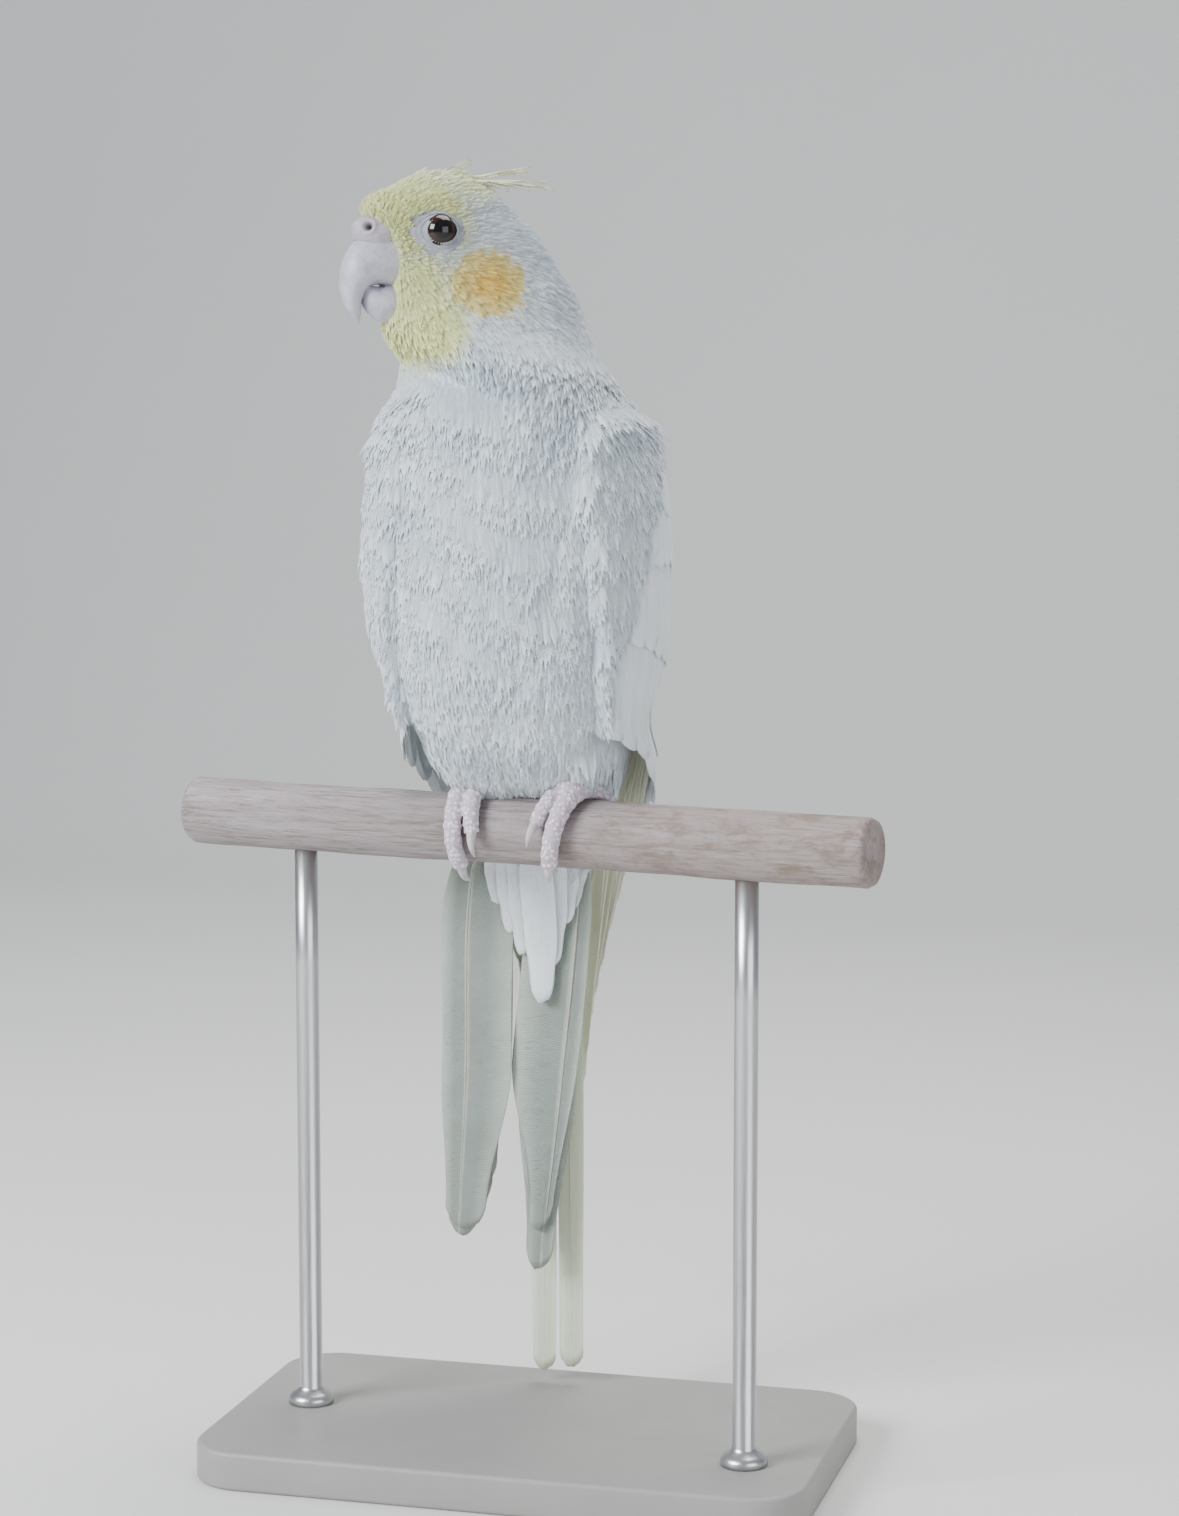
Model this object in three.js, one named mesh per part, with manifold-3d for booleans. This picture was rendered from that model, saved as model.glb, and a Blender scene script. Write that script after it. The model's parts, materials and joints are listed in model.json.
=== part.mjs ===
// A cockatiel at rest on a short length of round perch, carried on a plain display stand.
// Millimetres. +Z is up, the breast faces -Y and the bird's left side is +X.
// The origin is the centre of the underside of the base. The body is given from the middle of the perch.
import * as THREE from "three";
import { mergeVertices } from "three/addons/utils/BufferGeometryUtils.js";
import Module from "manifold-3d";

const wasm = await Module();
wasm.setup();

// Driving sizes
const GAP = 0.3; // left between touching pieces
const SIMPLIFY = 0.08; // slivers from joining solids are taken out within this distance
const PERCH_RADIUS = 8.8;
const PERCH_LENGTH = 190;
const PERCH_YAW = -9.6; // degrees, the perch against the line across the breast
const TAIL_TIP_Z = -152; // lowest point of the tail, from the middle of the perch
const TAIL_CLEARANCE = 5; // between the tail's tip and the base
const BASE_LENGTH = 160;
const BASE_DEPTH = 92;
const BASE_THICKNESS = 10;
const BASE_CORNER = 14;
const ROD_RADIUS = 3;
const ROD_SPREAD = 62; // each rod's distance from the middle, along the perch
const PERCH_SETBACK = -10; // the perch's place on the base, towards the front
const PERCH_HEIGHT = BASE_THICKNESS + TAIL_CLEARANCE - TAIL_TIP_Z;

// Level slices through body and feathers at rest, from tail root to neck: height, centre x,
// centre y, half width, reach forward, reach back, turn of the slice in degrees
const TRUNK = [
  [-30, -2, 27, 7, 3, 4, 0],
  [-20, -1, 26.5, 10, 5, 5, 0],
  [-10, 0, 25, 13, 8.5, 7.5, 0],
  [0, 0, 21, 17, 12, 12, 0],
  [9, 0, 14, 21.5, 17, 20, 0],
  [18, 0, 8.5, 25.5, 23, 25.5, 0],
  [28, 0, 4.5, 29, 27, 29.5, 0],
  [42, 0, 1.5, 33, 30, 31.5, 0],
  [56, 0, 0, 34.6, 32, 31.5, 0],
  [70, 0, -1, 35.2, 32.5, 31, 0],
  [84, 0, -2.5, 34.8, 31.5, 29.5, 0],
  [96, 0, -4.5, 33.4, 29.5, 27.5, 0],
  [106, -0.4, -6.8, 31, 26.6, 26, -6],
  [116, -2, -7.8, 26.2, 24.4, 25.6, -18],
];
// The same through the head: height, centre ahead of the head's own, half width, forward, back, turn
const HEAD_TURN = -50.5;
const HEAD_SLICES = [
  [126, -9, 20.4, 28, 25.6, -40],
  [134, -7.2, 17.4, 26.2, 24, -48],
  [142, -5, 15.8, 24.4, 22.2, HEAD_TURN],
  [150, -1, 14.6, 22.8, 20.4, HEAD_TURN],
  [157, 4, 12, 19.4, 16, HEAD_TURN],
  [161.6, 5.4, 8.4, 12, 11.4, HEAD_TURN],
  [164, 6, 4.4, 6.4, 6.2, HEAD_TURN],
];
const CROWN_Z = 165;
const TAIL_ROOT_Z = -33;
const SQUARENESS = 2.2; // 2 is an ellipse, more is boxier
const AROUND = 26;
const TAIL_CUT_Z = -4;
const NECK_CUT_Z = 107;
const HEAD_CUT_Z = 130;

// Head frame: a point between the eyes, with ahead, left and up measured from it
const HEAD_CENTRE = [-12.3, -14, 145.1];
const EYE = { ahead: 8.2, left: 11, up: 4.3, radius: 4.1 };
const LID = { left: 13.3, radius: 4.3, thickness: 0.9 };
const NOSTRIL = { ahead: 22.6, left: 3.9, up: 3.4, radius: 0.8, depth: 2.2 };
const CERE = { ahead: 20, up: 2.6, length: 6.2, width: 6, height: 5 };

// Bill centre lines in the head's middle plane: ahead, up, half height, half width
const UPPER_BILL = [
  [13, -2, 7.6, 6.2],
  [19, -2, 7.4, 6.1],
  [23.4, -4, 5.7, 5.4],
  [26.2, -7.6, 3.8, 4.2],
  [26.8, -12, 2.4, 2.8],
  [25.8, -15.6, 1.2, 1.3],
];
const UPPER_BILL_TIP = [25.2, -18];
const LOWER_BILL = [
  [12, -12.4, 5, 5.4],
  [17, -13, 5, 5.2],
  [20.8, -12, 4, 4.4],
  [23, -10, 1.8, 2.6],
];
const LOWER_BILL_TIP = [23.8, -8.6];

// Surface that the wings lie on below the body: height, centre y, half width, forward, back
const WING_BED_LOW = [
  [-70, 33, 19, 5, 5],
  [-40, 27, 23, 9, 10],
  [-12, 19, 26, 15, 17],
  [8, 12.6, 28.6, 20.6, 23],
  [18, 8.6, 29.6, 24.6, 27.6],
];
const WING_BED_JOIN = 28; // above this height the wings lie on the body itself
// Wing outline: height, front edge and back edge as degrees round from the breast
const WING_EDGES = [
  [-66, 158, 165],
  [-40, 147, 169],
  [-12, 122, 171],
  [10, 82, 173],
  [30, 55, 172],
  [50, 50, 164],
  [70, 51, 153],
  [85, 55, 140],
  [96, 60, 129],
  [104, 67, 121],
  [110, 76, 110],
];
const WING_TOP_Z = { left: 112, right: 107 };
const WING_CORE_END = 16; // lowest point of the wing's fused inner part
const WING_LIFT = 1.1; // clearance of the wing from the body

// Feathers of a wing in tiers, each tier from the front edge to the back one: how many,
// height of the first and last root, of the first and last tip, degrees round from the
// breast of the first and last root, of the first and last tip, half width, lift of root and tip
const WING_TIERS = [
  { count: 4, root: [34, 26], tip: [-28, -66], from: [118, 150], to: [141, 161], half: 4.8, lift: [0.6, 0.9] },
  { count: 4, root: [60, 52], tip: [22, -4], from: [61, 122], to: [65, 138], half: 7.4, lift: [0.9, 2] },
  { count: 2, root: [64, 60], tip: [10, 0], from: [116, 142], to: [126, 152], half: 7.6, lift: [1.4, 2.8] },
  { count: 4, root: [84, 78], tip: [48, 36], from: [60, 130], to: [62, 140], half: 9.4, lift: [1.4, 2.8] },
  { count: 4, root: [98, 94], tip: [72, 62], from: [62, 124], to: [62, 132], half: 8.4, lift: [1.8, 3.2] },
  { count: 3, root: [107, 105], tip: [88, 82], from: [74, 112], to: [70, 122], half: 8, lift: [1.8, 3.2] },
];
const TIER_STEPS = [0, 0.45, 0.82, 1];
const TIER_WIDTHS = [0.55, 1, 0.85, 0.35];
const WING_SPREAD = 1.2; // seeded scatter of each feather, in degrees

// Tail feathers as seen from the breast, nearest first: x of root and tip, height of the tip,
// y of the root, slope back for each millimetre down, half width
const TAIL_FEATHERS = [
  [-9, -24.4, -112, 24.8, 0.035, 5.2],
  [4, 2.6, -104, 24.4, 0.068, 5.2],
  [-8, -21.8, -111, 26, 0.038, 5.4],
  [3, 0.6, -110, 25.6, 0.071, 5.4],
  [-7, -19, -106, 27.2, 0.041, 5.4],
  [2, -1.8, -115, 26.8, 0.074, 5.4],
  [-6, -16.8, -101, 28.4, 0.044, 5.2],
  [1.5, -4.4, -120, 28, 0.077, 5.2],
  [-5, -14.8, -97, 29.6, 0.047, 4.6],
  [1, -5.6, -116, 29.2, 0.08, 4.6],
  [-1.9, -6.4, -152, 30.4, 0.083, 3.3],
  [1.9, 0.6, -150.5, 30.4, 0.083, 3.3],
];
const TAIL_FEATHER_ROOT = -12;
// Feathers that cover the tail's root from below: x, height of the tip, y of the root, half width
const TAIL_COVERTS = [
  [-9, -24, 20.4, 4.6],
  [6, -27, 20.2, 4.4],
  [-4, -34, 21.6, 4.6],
  [1.6, -43, 21.4, 4.2],
];
const COVERT_SLOPE = 0.14;
const COVERT_ROOT = -7;
const TAIL_WIDTHS = [0.75, 0.95, 1, 0.8, 0.34];
const TAIL_STEPS = [0, 0.2, 0.62, 0.92, 1];
const TAIL_PARTING = 4.5; // how soon the feathers part from the root, more is sooner

// Crest feathers in the head frame: root ahead, left, tip ahead, left, up, half width
const CREST_FEATHERS = [
  [13, 0, -5, 0.6, 21.4, 1.5],
  [9, 1.2, -20, 2.2, 19.4, 1.5],
  [8, -1.2, -23, -1.4, 20.6, 1.5],
  [5, 0, -30, 0.4, 17.4, 1.6],
  [3, 2.6, -26, 3.6, 15, 1.5],
  [2, -2.6, -27, -3.2, 16, 1.5],
  [6, 3.2, -14, 4.6, 15.2, 1.4],
  [6, -3.2, -16, -4.4, 15.6, 1.4],
  [0, 1, -33, 1.6, 15.4, 1.4],
];
const CREST_PAD = [
  [15, 15.8, 1.4, 1.8],
  [9, 18, 1.9, 4],
  [1, 18.4, 1.9, 4.8],
  [-7, 17, 1.6, 3.6],
];
const CREST_PAD_TIP = [-11, 16.2];
const CREST_STEPS = [0, 0.55, 1];
const CREST_WIDTHS = [0.8, 1, 0.35];

// Feather thickness at the edges and along the shaft
const VANE_EDGE = 0.55;
const VANE_RIDGE = 0.3;

// Feet: place along the perch, then for each toe its start and end along the perch,
// its start and end as degrees round from the top towards the front, and its thickness
const FEET = {
  right: {
    along: -12.6,
    toes: [
      { from: -13.6, to: -12.4, start: -6, end: 138, radius: 2.1 },
      { from: -10.8, to: -7.6, start: -4, end: 88, radius: 2 },
      { from: -15.2, to: -22, start: 4, end: -92, radius: 1.9 },
      { from: -10.8, to: -4.4, start: 2, end: -98, radius: 1.9 },
    ],
  },
  left: {
    along: 16,
    toes: [
      { from: 17.6, to: 12.4, start: -6, end: 126, radius: 2.1 },
      { from: 14, to: 11.4, start: -4, end: 84, radius: 2 },
      { from: 13.4, to: 8, start: 2, end: -92, radius: 1.9 },
      { from: 18.2, to: 23.4, start: 4, end: -98, radius: 1.9 },
    ],
  },
};
const TOE_SIDES = 6;
const TOE_STEPS = 5;
const CLAW_LENGTH = 6;
const CLAW_RADII = [1.35, 1.15, 0.75, 0.3];
const FOOT_HUB_RADIUS = 3.6;
// Thigh feathers, from the foot up into the belly: height, centre y, radius
const THIGH = [
  [12.6, -1.6, 4.4],
  [17, -4.4, 6.8],
  [22.5, -6, 8.8],
  [29, -5, 9.4],
  [35, -2, 8],
  [39, 0, 4.5],
];

// Colours and finishes
const paint = (color, roughness, metalness = 0) =>
  new THREE.MeshStandardMaterial({ color, roughness, metalness });
const MATERIALS = {
  white_feather: paint(0xdfe6e6, 0.85),
  yellow_feather: paint(0xdde0a4, 0.85),
  wing_feather: paint(0xe2e8e4, 0.75),
  tail_feather: paint(0xd9dfc8, 0.75),
  bill: paint(0xc4c0c6, 0.5),
  cere: paint(0xc9bcc4, 0.6),
  eye: paint(0x2a1712, 0.08),
  foot: paint(0xcdb9c0, 0.7),
  claw: paint(0xbdb2b2, 0.45),
  perch: paint(0xa89a90, 0.8),
  stand_base: paint(0x8c8a86, 0.5),
  stand_rod: paint(0xb9babd, 0.3, 1),
};

const rad = THREE.MathUtils.degToRad;
const vec = (x, y, z) => new THREE.Vector3(x, y, z);
const mix = THREE.MathUtils.lerp;

const headTurn = rad(HEAD_TURN);
const AHEAD = vec(Math.sin(headTurn), -Math.cos(headTurn), 0);
const LEFT = vec(Math.cos(headTurn), Math.sin(headTurn), 0);
const UP = vec(0, 0, 1);
const headPoint = (ahead, left, up) =>
  vec(...HEAD_CENTRE)
    .addScaledVector(AHEAD, ahead)
    .addScaledVector(LEFT, left)
    .addScaledVector(UP, up);

const BODY = [
  ...TRUNK,
  ...HEAD_SLICES.map(([z, ahead, ...rest]) => {
    const { x, y } = headPoint(ahead, 0, 0);
    return [z, x, y, ...rest];
  }),
];

// One row of a table at a height between its rows, on a smooth curve through them
function rowAt(table, z) {
  const last = table.length - 1;
  if (z <= table[0][0]) return table[0];
  if (z >= table[last][0]) return table[last];
  let i = 0;
  while (table[i + 1][0] < z) i++;
  const before = table[Math.max(i - 1, 0)];
  const low = table[i];
  const high = table[i + 1];
  const after = table[Math.min(i + 2, last)];
  const span = high[0] - low[0];
  const t = (z - low[0]) / span;
  return low.map((value, k) => {
    if (k === 0) return z;
    const slopeLow = (high[k] - before[k]) / (high[0] - before[0]);
    const slopeHigh = (after[k] - value) / (after[0] - low[0]);
    const a = value * (1 + 2 * t) * (1 - t) ** 2 + high[k] * t * t * (3 - 2 * t);
    return a + span * (slopeLow * t * (1 - t) ** 2 - slopeHigh * t * t * (1 - t));
  });
}

// Point on a level section, at an angle round from straight ahead towards the bird's left
function sectionPoint([z, x, y, side, front, back, turn], angle, grow = 0) {
  const across = Math.sin(angle);
  const ahead = Math.cos(angle);
  const reach = ahead > 0 ? front : back;
  const flat =
    (Math.abs(across) / side) ** SQUARENESS + (Math.abs(ahead) / reach) ** SQUARENESS;
  const r = flat ** (-1 / SQUARENESS) + grow;
  const t = rad(turn);
  return vec(
    x + r * (ahead * Math.sin(t) + across * Math.cos(t)),
    y + r * (across * Math.sin(t) - ahead * Math.cos(t)),
    z,
  );
}

const bodyPoint = (z, angle, grow) => sectionPoint(rowAt(BODY, z), angle, grow);

const WING_BED = [
  ...WING_BED_LOW.map(([z, y, side, front, back]) => [z, 0, y, side, front, back, 0]),
  ...BODY.filter(([z]) => z >= WING_BED_JOIN).map((row) => [...row.slice(0, 6), 0]),
];
const bedPoint = (z, angle, lift) => sectionPoint(rowAt(WING_BED, z), angle, lift);

// Seeded random numbers between -1 and 1
let seed = 71;
function scatter() {
  seed = (seed * 48271) % 2147483647;
  return (2 * seed) / 2147483647 - 1;
}

// Closed solid from points and triangles, turned outwards if they face in
function solidFrom(points, triangles) {
  const build = (list) =>
    new wasm.Manifold(
      new wasm.Mesh({
        numProp: 3,
        vertProperties: new Float32Array(points.flatMap((p) => [p.x, p.y, p.z])),
        triVerts: new Uint32Array(list.flat()),
      }),
    );
  const made = build(triangles);
  return made.volume() < 0 ? build(triangles.map(([a, b, c]) => [a, c, b])) : made;
}

// Skin over rings of points, closed to a point at each end
function skin(rings, startPoint, endPoint) {
  const n = rings[0].length;
  const points = rings.flat();
  const start = points.push(startPoint) - 1;
  const end = points.push(endPoint) - 1;
  const triangles = [];
  for (let i = 0; i < n; i++) {
    const j = (i + 1) % n;
    triangles.push([start, j, i]);
    for (let k = 0; k < rings.length - 1; k++) {
      const a = k * n;
      const b = a + n;
      triangles.push([a + i, a + j, b + j], [a + i, b + j, b + i]);
    }
    const top = (rings.length - 1) * n;
    triangles.push([end, top + i, top + j]);
  }
  return solidFrom(points, triangles);
}

// Skin of a thin sheet: each ring runs along its inner face and back along its outer one.
// Both faces are split alike, and the ends are closed across the thickness.
function sheet(rings) {
  const n = rings[0].length;
  const top = (rings.length - 1) * n;
  const triangles = [];
  for (let i = 0; i < n; i++) {
    const j = (i + 1) % n;
    for (let a = 0; a < top; a += n) {
      const b = a + n;
      if (i >= n / 2) {
        triangles.push([a + i, a + j, b + i], [a + j, b + j, b + i]);
      } else {
        triangles.push([a + i, a + j, b + j], [a + i, b + j, b + i]);
      }
    }
  }
  for (let i = 0; i < n / 2 - 1; i++) {
    const far = n - 1 - i;
    triangles.push([i + 1, i, far], [i + 1, far, far - 1]);
    triangles.push([top + i, top + i + 1, top + far], [top + i + 1, top + far - 1, top + far]);
  }
  return solidFrom(rings.flat(), triangles);
}

// Three.js geometry, placed by a matrix, as a solid
function solidOf(geometry, matrix = new THREE.Matrix4()) {
  const bare = geometry.clone().applyMatrix4(matrix);
  bare.deleteAttribute("normal");
  bare.deleteAttribute("uv");
  const merged = mergeVertices(bare, 1e-4);
  const p = merged.attributes.position;
  const points = Array.from({ length: p.count }, (_, i) =>
    vec(p.getX(i), p.getY(i), p.getZ(i)),
  );
  const index = merged.index.array;
  const triangles = [];
  for (let i = 0; i < index.length; i += 3) {
    triangles.push([index[i], index[i + 1], index[i + 2]]);
  }
  return solidFrom(points, triangles);
}

const union = (solids) => wasm.Manifold.union(solids);

function largest(solid) {
  return solid.decompose().reduce((a, b) => (b.volume() > a.volume() ? b : a));
}

const moved = (x, y, z) => new THREE.Matrix4().makeTranslation(x, y, z);

// Round tube along points, with a radius at each
function tube(points, radii, sides, tip) {
  const rings = points.map((p, i) => {
    const along = points[Math.min(i + 1, points.length - 1)]
      .clone()
      .sub(points[Math.max(i - 1, 0)])
      .normalize();
    const side = vec(0.31, 0.17, 0.93).cross(along).normalize();
    const over = along.clone().cross(side);
    return Array.from({ length: sides }, (_, k) => {
      const a = (2 * Math.PI * k) / sides;
      return p
        .clone()
        .addScaledVector(side, radii[i] * Math.cos(a))
        .addScaledVector(over, radii[i] * Math.sin(a));
    });
  });
  return skin(rings, points[0], tip ?? points[points.length - 1]);
}

// Perch frame: along it, round it from the top towards the front, and out from its axis
const yaw = rad(PERCH_YAW);
const ALONG = vec(Math.cos(yaw), Math.sin(yaw), 0);
const FRONT = vec(Math.sin(yaw), -Math.cos(yaw), 0);
const perchPoint = (along, angle, r) =>
  vec(0, 0, 0)
    .addScaledVector(ALONG, along)
    .addScaledVector(FRONT, r * Math.sin(angle))
    .addScaledVector(UP, r * Math.cos(angle));

// Perch: a peeled branch, nearly round and straight
function perch(grow = 0) {
  const sides = 28;
  const steps = 2;
  const rings = [];
  for (let i = 0; i <= steps; i++) {
    const along = PERCH_LENGTH * (i / steps - 0.5);
    rings.push(
      Array.from({ length: sides }, (_, k) =>
        perchPoint(along, (2 * Math.PI * k) / sides, PERCH_RADIUS + grow),
      ),
    );
  }
  const half = PERCH_LENGTH / 2;
  return skin(rings, perchPoint(-half, 0, 0), perchPoint(half, 0, 0));
}

// Whole body of flesh and small feathers, from tail root to crown
function bodySolid(grow = 0) {
  const heights = [];
  for (let z = TAIL_ROOT_Z + 3; z < 20; z += 6) heights.push(z);
  for (let z = 22; z < 118; z += 12) heights.push(z);
  heights.push(118);
  for (let z = 124; z < 158; z += 5) heights.push(z);
  heights.push(158.4, 161.6, 164);
  const rings = heights.map((z) =>
    Array.from({ length: AROUND }, (_, k) =>
      bodyPoint(z, (2 * Math.PI * k) / AROUND, grow),
    ),
  );
  const [, x, y] = rowAt(BODY, TAIL_ROOT_Z);
  const [, crownX, crownY] = rowAt(BODY, CROWN_Z);
  return skin(rings, vec(x, y, TAIL_ROOT_Z - grow), vec(crownX, crownY, CROWN_Z + grow));
}

// Toe path round the perch
function toePoints(toe) {
  const r = PERCH_RADIUS + GAP + toe.radius;
  return Array.from({ length: TOE_STEPS + 1 }, (_, i) => {
    const t = i / TOE_STEPS;
    const angle = rad(mix(toe.start, toe.end, t));
    const taper = mix(0, -0.25, t);
    return perchPoint(mix(toe.from, toe.to, t), angle, r + taper);
  });
}

function toe(spec, grow) {
  const points = toePoints(spec);
  const radii = points.map((_, i) => {
    const t = i / TOE_STEPS;
    const pad = 0.12 * Math.cos(i * Math.PI); // joints are a little fuller
    return spec.radius * mix(1, 0.8, t) + pad * (i > 0 && i < TOE_STEPS ? 1 : 0) + grow;
  });
  return tube(points, radii, TOE_SIDES);
}

function foot(spec, grow = 0) {
  const hub = new THREE.SphereGeometry(FOOT_HUB_RADIUS + grow, 10, 7);
  const centre = perchPoint(spec.along, 0, PERCH_RADIUS + FOOT_HUB_RADIUS + GAP);
  return union([
    solidOf(hub, moved(centre.x, centre.y, centre.z)),
    ...spec.toes.map((t) => toe(t, grow)),
  ]);
}

// Claw: leaves the toe's end along its line and hooks down and in
function claw(spec, grow = 0) {
  const points = toePoints(spec);
  const end = points[TOE_STEPS];
  const along = end.clone().sub(points[TOE_STEPS - 1]).normalize();
  const outward = end.clone().addScaledVector(ALONG, -end.dot(ALONG)).normalize();
  const start = end.clone().addScaledVector(along, GAP);
  const path = [0, 0.35, 0.7, 0.95].map((t) =>
    start
      .clone()
      .addScaledVector(along, CLAW_LENGTH * t)
      .addScaledVector(outward, 1.1 * Math.sin(Math.PI * t)),
  );
  const tip = start.clone().addScaledVector(along, CLAW_LENGTH + grow);
  return tube(
    path,
    CLAW_RADII.map((r) => r + grow),
    6,
    tip,
  );
}

// Feathered thigh, from the foot up into the belly
function thigh(spec, grow = 0) {
  const x = perchPoint(spec.along, 0, 0).x;
  const rings = THIGH.map(([z, y, radius]) =>
    Array.from({ length: 18 }, (_, k) => {
      const a = (2 * Math.PI * k) / 18;
      return vec(x + (radius + grow) * Math.cos(a), y + (radius + grow) * Math.sin(a), z);
    }),
  );
  const [lowZ, lowY] = THIGH[0];
  const [topZ, topY] = THIGH[THIGH.length - 1];
  return skin(rings, vec(x, lowY, lowZ - 0.6 - grow), vec(x, topY, topZ + 1 + grow));
}

// Ring or ball in the head frame, its axis pointing to one side
function eyePlace(side, left) {
  const at = headPoint(EYE.ahead, side * left, EYE.up);
  const axis = LEFT.clone()
    .multiplyScalar(side)
    .addScaledVector(AHEAD, 0.22)
    .addScaledVector(UP, 0.05)
    .normalize();
  const q = new THREE.Quaternion().setFromUnitVectors(UP, axis);
  return new THREE.Matrix4().compose(at, q, vec(1, 1, 1));
}

const eyeball = (side, grow = 0) =>
  solidOf(new THREE.SphereGeometry(EYE.radius + grow, 12, 9), eyePlace(side, EYE.left));

const lid = (side) =>
  solidOf(
    new THREE.TorusGeometry(LID.radius, LID.thickness, 6, 15),
    eyePlace(side, LID.left),
  );

// Half of the bill along a line in the head's middle plane
function bill(rows, [tipAhead, tipUp], grow = 0) {
  const sides = 12;
  const rings = rows.map(([ahead, up, high, wide], i) => {
    const a = rows[Math.max(i - 1, 0)];
    const b = rows[Math.min(i + 1, rows.length - 1)];
    const run = Math.hypot(b[0] - a[0], b[1] - a[1]);
    const normal = [(a[1] - b[1]) / run, (b[0] - a[0]) / run];
    return Array.from({ length: sides }, (_, k) => {
      const angle = (2 * Math.PI * k) / sides;
      const h = (high + grow) * Math.cos(angle);
      const w = (wide + grow) * Math.sin(angle);
      return headPoint(ahead + normal[0] * h, w, up + normal[1] * h);
    });
  });
  const [ahead, up] = rows[0];
  return skin(rings, headPoint(ahead - grow, 0, up), headPoint(tipAhead, 0, tipUp - grow));
}

function cere(upperGrown, headGrown) {
  const q = new THREE.Quaternion().setFromAxisAngle(UP, headTurn);
  const at = headPoint(CERE.ahead, 0, CERE.up);
  const size = vec(CERE.width, CERE.length, CERE.height);
  const ball = solidOf(
    new THREE.SphereGeometry(1, 14, 9),
    new THREE.Matrix4().compose(at, q, size),
  );
  const holes = [-1, 1].map((side) => {
    const mouth = headPoint(NOSTRIL.ahead, side * NOSTRIL.left, NOSTRIL.up);
    const inward = headPoint(CERE.ahead - 1, side * 0.5, CERE.up - 1).sub(mouth).normalize();
    const from = mouth.clone().addScaledVector(inward, -2.5);
    const to = mouth.clone().addScaledVector(inward, NOSTRIL.depth);
    return tube([from, to], [NOSTRIL.radius, NOSTRIL.radius], 8);
  });
  return largest(ball.subtract(union([upperGrown, headGrown, ...holes])));
}

// Thin level slab that parts the body at a height, tipped about the X axis
function cut(z, tip = 0) {
  const slab = new THREE.BoxGeometry(120, 120, GAP);
  const turn = new THREE.Matrix4().makeRotationX(rad(tip));
  return solidOf(slab, moved(0, 0, z).multiply(turn));
}

const keepSide = (solid, z, above) =>
  solid.trimByPlane([0, 0, above ? 1 : -1], above ? z : -z);

// Feather from rows of left, middle and right points with the way out of its face
function vane(rows) {
  const rings = rows.map(({ left, middle, right, out }) => {
    const at = (p, lift) => p.clone().addScaledVector(out, lift);
    const half = VANE_EDGE / 2;
    return [
      at(left, -half),
      at(middle, -half),
      at(right, -half),
      at(right, half),
      at(middle, half + VANE_RIDGE),
      at(left, half),
    ];
  });
  return sheet(rings);
}

// Inner part of a wing, which all of its feathers are fused to
function wingCore(side, top) {
  const columns = 7;
  const steps = 7;
  const rings = [];
  for (let i = 0; i <= steps; i++) {
    const z = mix(WING_CORE_END, top, i / steps);
    const [, front, back] = rowAt(WING_EDGES, z);
    const angle = (k) => side * rad(mix(front, back, k / columns));
    const ends = Math.max(Math.sin((Math.PI * i) / steps) ** 0.4, 0.3);
    const thick = THREE.MathUtils.mapLinear(z, WING_CORE_END, top, 1.1, 2.6) * ends;
    const outer = Array.from({ length: columns + 1 }, (_, k) => {
      const crown = Math.max(Math.sin((Math.PI * k) / columns) ** 0.5, 0.35);
      return bedPoint(z, angle(k), WING_LIFT + thick * crown);
    });
    const inner = Array.from({ length: columns + 1 }, (_, k) =>
      bedPoint(z, angle(columns - k), WING_LIFT),
    );
    rings.push([...outer, ...inner]);
  }
  return sheet(rings);
}

// One wing feather, lying on the body's side between a root and a tip
function wingFeather(side, root, tip, half) {
  const rows = TIER_STEPS.map((t, i) => {
    const z = mix(root.z, tip.z, t);
    const angle = side * rad(mix(root.angle, tip.angle, t));
    const lift = WING_LIFT + VANE_EDGE / 2 + mix(root.lift, tip.lift, t);
    const reach = bedPoint(z, angle + 0.01, lift).distanceTo(bedPoint(z, angle - 0.01, lift));
    const turn = (0.02 * half * TIER_WIDTHS[i]) / reach;
    const left = bedPoint(z, angle - turn, lift);
    const right = bedPoint(z, angle + turn, lift);
    const across = right.clone().sub(left);
    const out = across.cross(UP).normalize();
    return { left, middle: bedPoint(z, angle, lift), right, out };
  });
  return vane(rows);
}

function wing(side, top) {
  const feathers = [wingCore(side, top)];
  for (const tier of WING_TIERS) {
    for (let i = 0; i < tier.count; i++) {
      const t = i / (tier.count - 1);
      const pick = ([first, last]) => mix(first, last, t);
      const shake = WING_SPREAD * scatter();
      const root = { z: Math.min(pick(tier.root), top - 4), angle: pick(tier.from), lift: tier.lift[0] };
      const tip = { z: pick(tier.tip) + shake, angle: pick(tier.to) + shake, lift: tier.lift[1] };
      feathers.push(wingFeather(side, root, tip, tier.half));
    }
  }
  return union(feathers);
}

// Feather hanging in the tail, facing the breast
function hangingFeather(rootX, tipX, rootZ, tipZ, rootY, slope, half) {
  const out = vec(0, -1, -slope).normalize();
  const rows = TAIL_STEPS.map((t, i) => {
    const z = mix(rootZ, tipZ, t);
    const x = mix(rootX, tipX, 1 - (1 - t) ** TAIL_PARTING);
    const y = rootY + slope * (rootZ - z);
    const w = half * TAIL_WIDTHS[i];
    return { left: vec(x - w, y, z), middle: vec(x, y, z), right: vec(x + w, y, z), out };
  });
  return vane(rows);
}

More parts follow.
